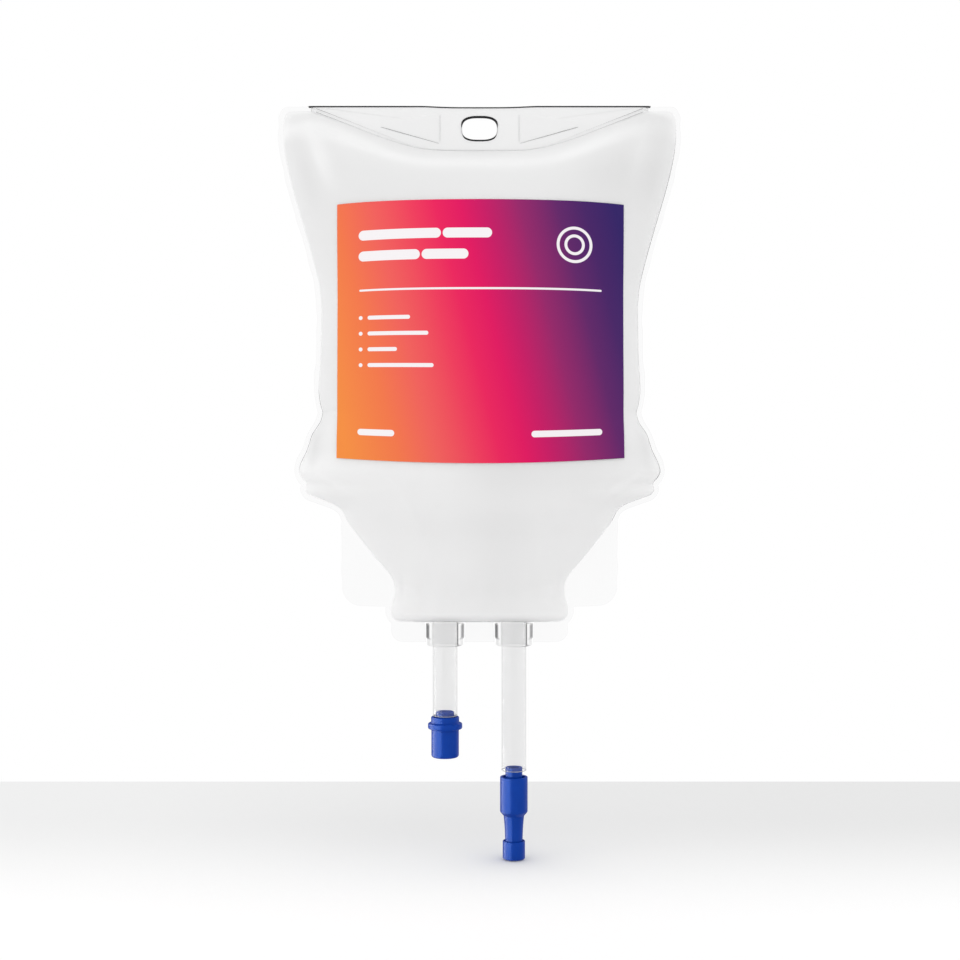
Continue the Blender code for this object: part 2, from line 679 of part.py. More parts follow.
def build_collar(name, centre_x, material):
    """A short clear collar that tapers down, round one port tube."""
    bore = TUBE_RADIUS + SEAT_GAP
    edge = COLLAR_EDGE_RADIUS
    profile = rounded_path([
        (bore, COLLAR_TOP),
        (COLLAR_TOP_DIAMETER / 2, COLLAR_TOP, edge),
        (COLLAR_BOTTOM_DIAMETER / 2, COLLAR_BOTTOM, edge),
        (bore, COLLAR_BOTTOM),
    ])
    return turned(name, profile, centre_x, COLLAR_TOP, material)


def build_tube(name, centre_x, bottom, material):
    """A clear port tube, from its blind hole in the bag to its open lower end."""
    profile = [
        (TUBE_BORE_RADIUS, TUBE_TOP),
        (TUBE_RADIUS, TUBE_TOP),
        (TUBE_RADIUS, bottom),
        (TUBE_BORE_RADIUS, bottom),
    ]
    return turned(name, profile, centre_x, TUBE_TOP, material)


def injection_levels():
    """Heights of the injection closure's steps, by name, from the tube's end down."""
    rim_top = INJECTION_TUBE_BOTTOM - SEAT_GAP
    ring_top = rim_top - RIM_HEIGHT
    ring_bottom = ring_top - RING_THICKNESS
    bottom = ring_bottom - RING_STEP - CLOSURE_BARREL_HEIGHT
    lip_top = bottom + SEPTUM_LIP
    chamber_top = lip_top + SEPTUM_HEIGHT + 2 * SEAT_GAP
    return rim_top, ring_top, ring_bottom, bottom, lip_top, chamber_top


def build_injection_closure(material):
    """The injection closure: a spigot and a rim round it, a round ring, and a barrel."""
    rim_top, ring_top, ring_bottom, bottom, lip_top, chamber_top = injection_levels()
    bore = SPIGOT_BORE_DIAMETER / 2
    rim = RIM_DIAMETER / 2
    barrel = CLOSURE_DIAMETER / 2
    ring_round = 0.45 * RING_THICKNESS
    mouth = SEPTUM_FACE_DIAMETER / 2 + SEAT_GAP
    chamber = SEPTUM_DIAMETER / 2 + SEAT_GAP
    spigot_top = INJECTION_TUBE_BOTTOM + SPIGOT_IN_TUBE
    groove = rim_top - RIM_GROOVE_DEPTH
    profile = rounded_path([
        (bore, spigot_top),
        (SPIGOT_RADIUS, spigot_top, EDGE_RADIUS),
        (SPIGOT_RADIUS, groove),
        (rim - RIM_WALL, groove),
        (rim - RIM_WALL, rim_top, EDGE_RADIUS),
        (rim, rim_top, EDGE_RADIUS),
        (rim, ring_top),
        (RING_DIAMETER / 2, ring_top, ring_round),
        (RING_DIAMETER / 2, ring_bottom, ring_round),
        (rim, ring_bottom),
        (barrel, ring_bottom - RING_STEP),
        (barrel, bottom, CLOSURE_EDGE_RADIUS),
        (mouth, bottom, EDGE_RADIUS),
        (mouth, lip_top),
        (chamber, lip_top),
        (chamber, chamber_top),
        (bore, chamber_top),
    ])
    return turned("injection_closure", profile, -PORT_HALF_SPACING, rim_top, material)


def build_septum(material):
    """The rubber septum: a plug behind the mouth's lip, with its face in the mouth."""
    _, _, _, bottom, lip_top, _ = injection_levels()
    seat = lip_top + SEAT_GAP
    top = seat + SEPTUM_HEIGHT
    face = bottom + SEPTUM_RECESS
    profile = rounded_path([
        (0, face),
        (SEPTUM_FACE_DIAMETER / 2, face, EDGE_RADIUS),
        (SEPTUM_FACE_DIAMETER / 2, seat),
        (SEPTUM_DIAMETER / 2, seat),
        (SEPTUM_DIAMETER / 2, top, EDGE_RADIUS),
        (0, top),
    ], closed=False)
    return turned("injection_septum", profile, -PORT_HALF_SPACING, face, material)


def build_stub(material):
    """The spike port's stub: a short pipe, with a thin web across its bore."""
    top = SPIKE_TUBE_BOTTOM + STUB_IN_TUBE
    bottom = SPIKE_TUBE_BOTTOM - STUB_BELOW_TUBE
    web_top = top - STUB_WEB_DROP
    web_bottom = web_top - STUB_WEB
    bore = SPIGOT_RADIUS - STUB_WALL
    profile = rounded_path([
        (0, web_top),
        (bore, web_top),
        (bore, top),
        (SPIGOT_RADIUS, top, EDGE_RADIUS),
        (SPIGOT_RADIUS, bottom),
        (bore, bottom),
        (bore, web_bottom),
        (0, web_bottom),
    ], closed=False)
    return turned("spike_stub", profile, PORT_HALF_SPACING, top, material)


def build_cover(material):
    """The pull-off cover: a barrel over the stub, a waisted neck and a lipped foot."""
    rim_top = SPIKE_TUBE_BOTTOM - COVER_BELOW_TUBE
    stub_bottom = SPIKE_TUBE_BOTTOM - STUB_BELOW_TUBE
    barrel_bottom = stub_bottom - COVER_BARREL_PAST_STUB
    neck_top = barrel_bottom - COVER_SHOULDER_HEIGHT
    foot_top = neck_top - COVER_NECK_HEIGHT
    bottom = foot_top - COVER_FOOT_HEIGHT
    floor = stub_bottom - COVER_FLOOR_ROOM
    barrel = COVER_DIAMETER / 2
    mouth = barrel - COVER_RIM_WALL
    grip = SPIGOT_RADIUS + COVER_CLEARANCE
    neck = COVER_NECK_DIAMETER / 2
    foot = COVER_FOOT_DIAMETER / 2
    groove_floor = foot_top - COVER_FOOT_GROOVE_DEPTH
    inner = [
        (0, floor),
        (grip, floor),
        (grip, rim_top - COVER_RIM_DEPTH),
        (mouth, rim_top - COVER_RIM_DEPTH),
        (mouth, rim_top, EDGE_RADIUS),
        (barrel, rim_top, EDGE_RADIUS),
        (barrel, barrel_bottom, EDGE_RADIUS),
    ]
    waist = [
        (neck + (COVER_NECK_TOP_DIAMETER / 2 - neck) * (1 - share) ** 2, mix(neck_top, groove_floor, share))
        for share in (0, 0.2, 0.4, 0.7, 1)
    ]
    lipped_foot = [
        (foot - COVER_FOOT_GROOVE_WIDTH, groove_floor),
        (foot - COVER_FOOT_GROOVE_WIDTH, foot_top),
        (foot, foot_top, EDGE_RADIUS),
        (foot, bottom, 2 * EDGE_RADIUS),
        (0, bottom),
    ]
    profile = rounded_path(inner + waist + lipped_foot, closed=False)
    return turned("spike_cover", profile, PORT_HALF_SPACING, rim_top, material)


def make_material(name, colour, roughness, alpha=1.0, transmission=0.0):
    """A plain finish in one colour."""
    material = bpy.data.materials.new(name)
    material.use_nodes = True
    shader = material.node_tree.nodes["Principled BSDF"]
    shader.inputs["Base Color"].default_value = (*colour, 1)
    shader.inputs["Roughness"].default_value = roughness
    shader.inputs["Metallic"].default_value = 0
    shader.inputs["Alpha"].default_value = alpha
    shader.inputs["Transmission Weight"].default_value = transmission
    material.diffuse_color = (*colour, 1)
    return material


def build():
    """Clear the scene and build every piece."""
    for old in list(bpy.data.objects):
        bpy.data.objects.remove(old, do_unlink=True)
    milky_film = make_material("milky_film", (0.83, 0.84, 0.85), 0.35)
    label_print = make_material("label_print", (0.80, 0.07, 0.14), 0.45)
    clear_plastic = make_material("clear_plastic", (0.88, 0.89, 0.90), 0.12, transmission=0.8)
    blue_plastic = make_material("blue_plastic", (0.02, 0.06, 0.38), 0.30)
    septum_rubber = make_material("septum_rubber", (0.60, 0.53, 0.42), 0.60)
    build_bag(milky_film)
    build_label(label_print)
    build_collar("injection_collar", -PORT_HALF_SPACING, clear_plastic)
    build_collar("spike_collar", PORT_HALF_SPACING, clear_plastic)
    build_tube("injection_tube", -PORT_HALF_SPACING, INJECTION_TUBE_BOTTOM, clear_plastic)
    build_tube("spike_tube", PORT_HALF_SPACING, SPIKE_TUBE_BOTTOM, clear_plastic)
    build_injection_closure(blue_plastic)
    build_septum(septum_rubber)
    build_stub(blue_plastic)
    build_cover(blue_plastic)


build()
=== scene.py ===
"""Looks of a filled one-litre fluid bag that hangs over a pale studio floor.

The milky pillow, its clear margin, the welded tab, the printed label, the clear
port tubes and the blue closures are surfaces worked out from formulas, each in the
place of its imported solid. X runs across the bag, the label faces -Y and Z points
up. The origin is where the hook bears. Lengths are metres.
"""

import json
import math

import bmesh
import bpy
import numpy as np
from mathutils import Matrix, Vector

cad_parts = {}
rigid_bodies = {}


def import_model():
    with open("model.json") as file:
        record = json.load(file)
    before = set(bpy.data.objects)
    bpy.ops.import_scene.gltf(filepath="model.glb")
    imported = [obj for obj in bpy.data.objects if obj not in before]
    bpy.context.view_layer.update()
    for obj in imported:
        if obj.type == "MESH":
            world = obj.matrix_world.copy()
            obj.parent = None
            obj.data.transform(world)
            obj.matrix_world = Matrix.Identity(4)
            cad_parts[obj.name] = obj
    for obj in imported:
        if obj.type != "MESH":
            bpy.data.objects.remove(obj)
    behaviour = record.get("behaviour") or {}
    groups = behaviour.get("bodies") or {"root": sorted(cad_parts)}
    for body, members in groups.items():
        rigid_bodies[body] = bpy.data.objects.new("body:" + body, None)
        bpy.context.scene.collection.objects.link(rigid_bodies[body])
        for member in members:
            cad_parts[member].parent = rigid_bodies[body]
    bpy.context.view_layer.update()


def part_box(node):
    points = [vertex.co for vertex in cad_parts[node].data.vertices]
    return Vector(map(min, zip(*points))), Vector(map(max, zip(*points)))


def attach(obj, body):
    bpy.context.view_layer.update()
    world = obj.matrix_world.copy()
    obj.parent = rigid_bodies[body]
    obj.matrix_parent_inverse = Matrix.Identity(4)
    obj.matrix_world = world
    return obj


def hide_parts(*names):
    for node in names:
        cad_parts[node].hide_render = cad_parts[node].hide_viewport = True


for old in list(bpy.data.objects):
    bpy.data.objects.remove(old, do_unlink=True)
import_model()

# The gap left between pieces that sit in one another
SEAT_GAP = 0.0003

# Clear film: its margin round the body, how far that is tucked in and how narrow it may
# get, how its cut edge rounds off and thins, and how far the cut is uneven
FILM_THICKNESS = 0.0005
FILM_MARGIN = 0.0024
MARGIN_TUCK = 0.0010
MARGIN_LEAST = 0.0004
MARGIN_ROUNDING = 14
MARGIN_THINNEST = 0.04
FILM_RIPPLE = 0.00013

# Tab: its dip in the middle, its lap over the body, its least height, how its points crowd
# towards the slot, and the share of its breadth over which its rims thin, and how much
TAB_THICKNESS = 0.0010
TAB_HALF_WIDTH = 0.0687
TAB_TOP = 0.0048
TAB_DIP = 0.0005
TAB_DIP_HALF_WIDTH = 0.0240
TAB_LAP = 0.0005
TAB_LEAST_HEIGHT = 0.0002
TAB_CROWDING = 1.6
TAB_RIM_SHARE = 0.02
TAB_RIM_THINNEST = 0.35

# Hanger slot, a superellipse whose power is its squareness
SLOT_WIDTH = 0.0140
SLOT_HEIGHT = 0.0088
SLOT_SQUARENESS = 2.9

# Raised panels beside the slot: their four corners, how far they stand up and are sunk in,
# and the share of the way to the middle over which their edge rises
PANEL_INNER_X = 0.0158
PANEL_OUTER_X = 0.0400
PANEL_INNER_LOW = -0.0104
PANEL_INNER_TOP = 0.0018
PANEL_OUTER_LOW = -0.0036
PANEL_OUTER_TOP = -0.0012
PANEL_HEIGHT = 0.00018
PANEL_CORNER_RADIUS = 0.0010
PANEL_SINK = 0.00005
PANEL_EDGE_SHARE = 0.16

# Seam under the tab: a clear weld between the tab's lower edge and the filled body. It is
# closed in the middle, opens to both sides and stops short of the tab's tips and top
SEAM_MIDDLE = -0.0130
SEAM_FLAT_HALF_WIDTH = 0.0239
SEAM_BEND = 0.0038
SEAM_RISE_PER_WIDTH = 0.386
SEAM_SAG_REACH = 0.0710
WELD_HALF_WIDTH = 0.0006
WELD_LAP = 0.0006
WELD_CLOSED = 0.0001
WELD_END_INSET = 0.0012
WELD_UNDER_TOP = 0.0004
WELD_LEAST_HALF_HEIGHT = 0.0001
WELD_START = 0.0220
WELD_FULL = 0.0420

# Square-shouldered ears of the filled body
SHOULDER_HALF_WIDTH = 0.0783
EAR_TOP = 0.0028
EAR_RADIUS = 0.0034
EAR_INSET = EAR_RADIUS * (1 - math.sqrt(0.5))
EAR_HALF_WIDTH = SHOULDER_HALF_WIDTH - EAR_INSET
EAR_LEVEL = EAR_TOP - EAR_INSET
SEAM_MEETS_EAR = 0.0004

# Side outline of the filled body in millimetres: (height, half width), from the ear
# down past the waist, the pinch, the elbow, its notch and the funnel to the base
SIDE_OUTLINE = (
    (1000 * EAR_LEVEL, 1000 * EAR_HALF_WIDTH), (-0.6, 78.3), (-8.0, 78.4), (-12.8, 78.0), (-20.8, 76.5),
    (-28.8, 74.5), (-44.8, 69.8), (-60.8, 65.4), (-68.8, 63.7), (-76.8, 63.1), (-92.8, 63.3),
    (-109.0, 64.1), (-114.2, 63.5), (-118.0, 62.6), (-121.0, 63.3), (-126.8, 66.8), (-132.8, 68.8),
    (-138.6, 71.5), (-141.2, 72.1), (-143.6, 71.2), (-146.3, 69.2), (-148.6, 69.6), (-150.4, 68.6),
    (-152.0, 64.6), (-154.8, 57.6), (-157.0, 55.0), (-161.0, 52.9), (-168.8, 47.2), (-176.8, 40.8),
    (-183.4, 35.4), (-187.0, 34.0), (-191.0, 34.1), (-195.0, 35.3), (-197.6, 35.4), (-199.6, 34.8),
    (-200.8, 33.5), (-201.4, 31.8),
)

# The same outline without the pinch and the notch, which only shape the film near its edge
BROAD_ELBOW = ((-120.0, 64.9), (-132.0, 68.4), (-141.0, 70.2), (-148.0, 67.6), (-154.0, 60.6))
BROAD_OUTLINE = (
    tuple(row for row in SIDE_OUTLINE if row[0] > -110)
    + BROAD_ELBOW
    + tuple(row for row in SIDE_OUTLINE if row[0] < -160)
)

# Half depth of the filled body in millimetres: (height, half depth at the middle)
DEPTH_PROFILE = (
    (1000 * EAR_LEVEL, 0.0), (-5.3, 9.2), (-20.7, 20.4), (-43.9, 28.6), (-82.5, 33.3), (-109.5, 34.0),
    (-126.1, 33.4), (-141.1, 32.0), (-147.5, 30.3), (-155.5, 27.5), (-168.0, 19.6), (-182.5, 14.4),
    (-189.3, 11.4), (-197.3, 9.2),
)
FOOT_LEVEL = -0.1973
BASE_LEVEL = -0.2014
NOTCH_LEVEL = -0.1475
SECTION_FULLNESS = 2.4
SECTION_ROUNDNESS = 0.58

# Large soft folds down each side, in millimetres: start and end as (across, height), then
# height, half width, bend of the line, and its painted highlight (up to 1) or painted shade
# (down to -1) on the left and on the right, stronger on the left where the light falls
FOLDS = (
    ((69.0, 1.6), (57.5, -38.0), 1.1, 4.2, 1.2, 0.62, 0.25),
    ((74.2, -2.0), (62.0, -48.0), -0.5, 3.8, 1.0, -0.25, -0.20),
    ((62.0, -112.0), (67.5, -149.0), -1.2, 2.6, 1.0, -0.60, -0.40),
    ((58.5, -108.0), (56.0, -152.0), 0.7, 4.2, 1.0, 0.20, 0.10),
    ((38.0, -141.0), (23.5, -197.0), 1.0, 5.0, 3.6, 0.30, 0.0),
    ((66.0, -139.0), (45.0, -154.5), 0.7, 2.6, 1.0, 0.30, 0.10),
    ((31.0, -178.0), (31.5, -197.0), -0.8, 1.6, 1.0, -0.60, 0.0),
)
# Broad soft patches of painted highlight and painted shade on the body, in millimetres:
# middle as (across, height), half sizes across and down, and how pale or dark
PAINTED_TONE_PATCHES = (
    ((8.0, -140.0), (15.0, 9.0), -0.30),
    ((8.0, -172.0), (12.0, 26.0), -0.30),
    ((38.0, -143.0), (24.0, 9.0), -0.30),
    ((-22.0, -170.0), (9.0, 26.0), 0.32),
    ((-36.0, -146.0), (16.0, 9.0), 0.30),
    ((56.0, -22.0), (17.0, 13.0), -0.50),
    ((71.0, -3.0), (8.0, 7.0), -0.60),
    ((-75.0, -1.0), (8.0, 8.0), -0.50),
    ((-64.0, -22.0), (7.0, 16.0), -0.20),
    ((-52.0, -143.0), (16.0, 10.0), 0.28),
)
# The half depth of the body at which its folds and gathers keep half their height
FOLD_EASE = 0.0040

# The soft roll along the seam: how far below the seam it lies and how strong its painted
# highlight is, each in the middle and at the ears, the places across between which they change,
# its height and half width, and the share of its painted highlight that is left on the right,
# away from the light, and where it fades
ROLL_BELOW_SEAM = (0.0125, 0.0075)
ROLL_PAINTED_LIGHT = (0.5, 0.8)
ROLL_CHANGES = (0.020, 0.060)
ROLL_HEIGHT = 0.0009
ROLL_HALF_WIDTH = 0.0042
ROLL_LEFT_ON_RIGHT = 0.5
ROLL_FADES_TO_RIGHT = (0.040, 0.060)

# Painted light on the funnel, which faces down and away from the light: how much paler all
# of it is painted and its left besides, where that sets in, how far down the ridge between
# its two sides runs, where that ridge lies at its foot and its top, and how soft it is
FUNNEL_PAINTED_LIFT = 0.44
FUNNEL_PAINTED_LEFT_LIGHT = 0.56
FUNNEL_SETS_IN = (0.132, 0.146)
RIDGE_TOP_LEVEL = -0.141
RIDGE_HEIGHT = 0.056
RIDGE_FOOT = 0.0235
RIDGE_TOP = 0.0380
RIDGE_BEND = 3.6
RIDGE_SOFTNESS = 0.0030

# Fine gathers of the film: their heights, how far each kind reaches, and the waves that
# they are made of, each as (radians to a metre, share, phase)
SEAM_PUCKER = 0.00016
SEAM_PUCKER_REACH = 0.0050
SEAM_WAVES = ((1450, 1.0, 0.0), (913, 0.7, 1.3))
SIDE_PUCKER = 0.00012
SIDE_PUCKER_REACH = 0.05
SIDE_WAVES = ((1130, 1.0, 0.0), (677, 0.8, 0.6))
NECK_PLEAT = 0.00016
NECK_PLEAT_LEVEL = -0.1890
NECK_PLEAT_HALF_HEIGHT = 0.0085
NECK_WAVES = ((720, 1.0, math.pi / 2), (433, 0.6, math.pi / 2 + 0.9))
CUT_WAVES = ((410, 1.0, 0.0), (727, 0.6, 0.7), (187, 0.5, 2.1))

# How strongly the edge line shows down each side: (height in millimetres, strength), and
# how strongly the weld and base lines show: (place across in millimetres, strength). The edge
# and base lines are the seam with painted shade: darkest down the right side, away from
# the light, and under the body's base
LEFT_LINE = (
    (0.0, 0.0), (-104.0, 0.05), (-112.0, 0.55), (-124.0, 0.75), (-137.0, 0.65), (-142.0, 0.0), (-201.0, 0.0),
)
RIGHT_LINE = (
    (0.0, 0.0), (-10.0, 0.25), (-20.0, 0.60), (-48.0, 0.70), (-64.0, 0.60), (-70.0, 0.35),
    (-104.0, 0.35), (-124.0, 0.60), (-144.5, 1.00), (-147.0, 0.15), (-151.0, 0.40), (-160.0, 0.50),
    (-164.0, 0.0), (-201.0, 0.0),
)
WELD_LINE = ((0.0, 0.14), (16.0, 0.10), (30.0, 0.06), (44.0, 0.10), (54.0, 0.24), (61.0, 0.52), (66.0, 0.74))
BASE_LINE = (
    (-28.5, 0.0), (-24.5, 0.45), (-8.0, 0.55), (-6.0, 1.0), (6.0, 1.0), (9.0, 0.5), (26.0, 0.35), (29.0, 0.0),
)

# Fine lines and cut edges: half widths and depths of their beads, how far a line lies
# beside the edge that it follows, how far short of an end or under an edge it stops, and
# how far a cut edge stands proud of the tab. The slot's rim widens between shares of the
# slot's height
LINE_OFFSET = 0.0001
WELD_LINE_HALF_WIDTH = 0.00008
WELD_LINE_END_INSET = 0.0034
WELD_LINE_UNDER_TOP = 0.0009
PANEL_LINE_HALF_WIDTHS = (0.00005, 0.00015)
PANEL_LINE_HALF_DEPTH = 0.00012
PANEL_LINE_END_INSET = 0.0008
PANEL_UPRIGHT_HALF_WIDTH = 0.00002
EDGE_LINE_HALF_WIDTH = 0.00012
EDGE_LINE_PROUD = 0.00008
EDGE_LINE_UNDER_EAR = 0.0012
EDGE_LINE_OVER_BASE = 0.0004
BASE_LINE_END_INSET = 0.0006
SLOT_RIM_THINNEST = 0.00002
SLOT_RIM_AT_TOP = 0.00050
SLOT_RIM_AT_BOTTOM = 0.00046
SLOT_RIM_PROUD = 0.00022
SLOT_RIM_TOP_WIDENS = (-0.53, -0.14)
SLOT_RIM_BOTTOM_WIDENS = (0.70, 0.93)
SLOT_RIM_OUTWARD = 0.75
TAB_EDGE_HALF_WIDTH = 0.00036
TAB_EDGE_PROUD = 0.00020
TAB_EDGE_END_INSET = 0.0016
TAB_TIP_INSET = 0.0005
TAB_TIP_DROPS = (0.00042, 0.00070)

# Clear flaps and the strip that the ports cross
FLAP_HALF_WIDTH = 0.0555
FLAP_BOTTOM = BASE_LEVEL + 0.0062
FLAP_CORNER_RADIUS = 0.0080
LAND_HALF_WIDTH = 0.0357
LAND_BOTTOM = BASE_LEVEL - 0.0082
LAND_CORNER_RADIUS = 0.0050
LAND_LAP = 0.0006

# Label
LABEL_HALF_WIDTH = 0.0556
LABEL_SHIFT = 0.0004
LABEL_TOP = -0.0378
LABEL_HEIGHT = 0.0985
LABEL_TOP_BOW = 0.0006
LABEL_BOTTOM_BOW = 0.0021
LABEL_LIFT = 0.00006
LABEL_THICKNESS = 0.00015

# Ports
TUBE_RADIUS = 0.0050
TUBE_BORE_RADIUS = 0.0037
COLLAR_TOP_DIAMETER = 0.0157
COLLAR_BOTTOM_DIAMETER = 0.0145
COLLAR_HEIGHT = 0.0089
COLLAR_TOP = BASE_LEVEL - 2 * SEAT_GAP
EDGE_RADIUS = 0.0003

# Fineness of turned pieces, rounded corners and beads, and the angles in degrees past
# which an edge stays sharp
TURN_SEGMENTS = 96
ARC_STEPS = 6
BEAD_SIDES = 10
SHARP_ANGLE = 35
BEAD_SHARP_ANGLE = 80


def mix(first, second, share):
    """The value that lies the given share of the way from the first to the second."""
    return first + (second - first) * share


def smooth_through(stations, values, at):
    """A smooth curve through the stations that never overshoots them.

    It is a cubic between neighbours. The slope at an inner station is the harmonic
    mean of the slopes on its two sides, or level where they differ in sign.
    """
    step = np.diff(stations)
    rise = np.diff(values) / step
    same_way = rise[:-1] * rise[1:] > 0
    slope = np.concatenate([rise[:1], np.zeros(len(rise) - 1), rise[-1:]])
    inner = 2 * rise[:-1] * rise[1:] / np.where(same_way, rise[:-1] + rise[1:], 1.0)
    slope[1:-1] = np.where(same_way, inner, 0.0)
    place = np.clip(np.searchsorted(stations, at) - 1, 0, len(step) - 1)
    t = (at - stations[place]) / step[place]
    from_start = (1 + 2 * t) * (1 - t) ** 2 * values[place] + t * (1 - t) ** 2 * step[place] * slope[place]
    from_end = t**2 * (3 - 2 * t) * values[place + 1] - t**2 * (1 - t) * step[place] * slope[place + 1]
    return from_start + from_end


def curve_through(table, level):
    """The smooth curve through a table of (height, size) in millimetres, at a level in metres."""
    rising = np.array(table[::-1]) / 1000
    return smooth_through(rising[:, 0], rising[:, 1], level)


def side_half_width(level):
    """Half width of the filled body where its side is at this level."""
    return curve_through(SIDE_OUTLINE, level)


def place_across(share, level):
    """Place across the body: the share of the broad outline, and near the side also the
    pinch and the notch, which fade inwards as the sixth power of the share."""
    broad = curve_through(BROAD_OUTLINE, level)
    return share * (broad + (side_half_width(level) - broad) * np.abs(share) ** 5)


def middle_half_depth(level):
    """Half depth at the middle of the row whose side is at this level, blunt below the foot."""
    smooth = curve_through(DEPTH_PROFILE, np.maximum(level, FOOT_LEVEL))
    below = np.clip((FOOT_LEVEL - level) / (FOOT_LEVEL - BASE_LEVEL), 0, 1)
    return smooth * np.sqrt(1 - below**2)


def seam_height(x):
    """Height of the tab's lower seam: level in the middle, bending to a straight rise."""
    past = (np.abs(x) - SEAM_FLAT_HALF_WIDTH) / SEAM_BEND
    return SEAM_MIDDLE + SEAM_RISE_PER_WIDTH * SEAM_BEND * np.logaddexp(0, past)


def smooth_step(value, start, end):
    """0 before start, 1 after end, and a smooth cubic between them."""
    t = np.clip((value - start) / (end - start), 0, 1)
    return t * t * (3 - 2 * t)


def weld_half_width(x):
    """Half width of the clear weld along the seam: none in the middle, full towards the ears."""
    return WELD_HALF_WIDTH * smooth_step(np.abs(x), WELD_START, WELD_FULL)


def top_height(x):
    """Height of the filled body's top edge: just under the weld, level over the ears, and
    turned down at their round corners. The two meet in a smooth minimum."""
    under_weld = seam_height(x) - weld_half_width(x)
    past_centre = np.clip(np.abs(x) - (SHOULDER_HALF_WIDTH - EAR_RADIUS), 0, EAR_RADIUS - EAR_INSET)
    ear = EAR_TOP - EAR_RADIUS + np.sqrt(EAR_RADIUS**2 - past_centre**2)
    return ear - SEAM_MEETS_EAR * np.logaddexp(0, (ear - under_weld) / SEAM_MEETS_EAR)


def fold_shape(x, level, start, end, half_width, bend):
    """How much of a soft fold is at each place, from 0 to 1, on both sides alike.

    Its line glides from start to end, both (place across, level) in millimetres, and
    bends as a power. It swells and fades along the line as a squared sine, and falls
    off across it as a bell.
    """
    along = np.clip((start[1] - 1000 * level) / (start[1] - end[1]), 0, 1)
    line = mix(end[0], start[0], (1 - along) ** bend)
    bell = np.exp(-(((1000 * np.abs(x) - line) / half_width) ** 2))
    return np.sin(math.pi * along) ** 2 * bell


def soft_folds(x, level):
    """Height of the large folds, and their painted highlight and shade: a roll along the seam,
    and the folds of the table down each side."""
    below_seam = EAR_LEVEL - level
    to_ear = smooth_step(np.abs(x), *ROLL_CHANGES)
    roll = np.exp(-(((below_seam - mix(*ROLL_BELOW_SEAM, to_ear)) / ROLL_HALF_WIDTH) ** 2))
    height = ROLL_HEIGHT * roll
    faded = mix(1.0, ROLL_LEFT_ON_RIGHT, smooth_step(x, *ROLL_FADES_TO_RIGHT))
    tone = mix(*ROLL_PAINTED_LIGHT, to_ear) * roll * faded
    for start, end, rise, half_width, bend, pale_left, pale_right in FOLDS:
        here = fold_shape(x, level, start, end, half_width, bend)
        height = height + rise / 1000 * here
        tone = tone + np.where(x < 0, pale_left, pale_right) * here
    return height, tone


def painted_body_shading(x, level):
    """The body's painted highlight (up to 1) and painted shade (down to -1): along its folds, in
    broad soft patches, and over the funnel, which is painted paler, most on its left."""
    tone = soft_folds(x, level)[1]
    for (across, height), (wide, tall), amount in PAINTED_TONE_PATCHES:
        away = ((x - across / 1000) / (wide / 1000)) ** 2 + ((level - height / 1000) / (tall / 1000)) ** 2
        tone = tone + amount * np.exp(-away)
    down = np.clip((RIDGE_TOP_LEVEL - level) / RIDGE_HEIGHT, 0, 1)
    ridge = mix(RIDGE_FOOT, RIDGE_TOP, (1 - down) ** RIDGE_BEND)
    left_of_ridge = smooth_step(-x, ridge - RIDGE_SOFTNESS, ridge + RIDGE_SOFTNESS)
    in_funnel = smooth_step(-level, *FUNNEL_SETS_IN)
    return tone + in_funnel * (FUNNEL_PAINTED_LIFT + FUNNEL_PAINTED_LEFT_LIGHT * left_of_ridge)


def waves(along, rows):
    """A sum of sines that never fall in step."""
    return sum(share * np.sin(along * rate + phase) for rate, share, phase in rows)


def film_puckers(share, x, level):
    """Height of the fine gathers of the film.

    Each is a sum of waves, fading away from the weld that gathers the film: the seam
    above, the sides, and the neck over the ports.
    """
    seam = SEAM_PUCKER * np.exp(-(EAR_LEVEL - level) / SEAM_PUCKER_REACH)
    side = SIDE_PUCKER * np.exp(-(1 - np.abs(share)) / SIDE_PUCKER_REACH)
    neck = NECK_PLEAT * np.exp(-(((level - NECK_PLEAT_LEVEL) / NECK_PLEAT_HALF_HEIGHT) ** 2))
    return seam * waves(x, SEAM_WAVES) + side * waves(level, SIDE_WAVES) + neck * waves(x, NECK_WAVES)


def body_surface(share, level, puckers=0.0):
    """Place and half depth of the filled body.

    share runs from -1 to 1 across a row, and level is the height of the row's side.
    A row sags to the seam's curve at the top and straightens as it goes down. The
    swell falls from the middle of a row to nothing at its side, as a rounded power
    of the share, and the folds lie on it, eased to nothing where it is thin.
    """
    x = place_across(share, level)
    sag = top_height(share * EAR_HALF_WIDTH) - EAR_LEVEL
    fade = np.clip(1 - (EAR_LEVEL - level) / SEAM_SAG_REACH, 0, 1) ** 2
    section = (1 - np.abs(share) ** SECTION_FULLNESS) ** SECTION_ROUNDNESS
    swell = middle_half_depth(level) * section
    folds = soft_folds(x, level)[0] + puckers * film_puckers(share, x, level)
    return x, swell + folds * swell / (swell + FOLD_EASE), level + sag * fade


def body_depth_at(x, z):
    """Half depth of the filled body at a place on the middle plane, found by repeated guesses."""
    level = np.array(z, dtype=float)
    share = np.clip(x / side_half_width(level), -1, 1)
    for _ in range(30):
        reached = place_across(share, level)
        share = np.clip(share + (x - reached) / side_half_width(level), -1, 1)
        _, depth, height = body_surface(share, level)
        level = np.clip(level + 0.7 * (z - height), BASE_LEVEL, EAR_LEVEL)
    return depth


def round_ended(height, bottom, half_width, radius):
    """Half width of a strip with straight sides and round lower corners, or 0 below it."""
    into_corner = np.clip(bottom + radius - height, 0, radius)
    return np.where(height < bottom - 1e-9, 0, half_width - radius + np.sqrt(radius**2 - into_corner**2))


def body_edge(height):
    """Half width of the filled body's outline at this height, round the ears too."""
    ear = np.sqrt(np.clip(EAR_RADIUS**2 - (height - EAR_TOP + EAR_RADIUS) ** 2, 0, None))
    below = side_half_width(np.clip(height, BASE_LEVEL, EAR_LEVEL))
    return np.where(height > EAR_LEVEL, SHOULDER_HALF_WIDTH - EAR_RADIUS + ear, below)


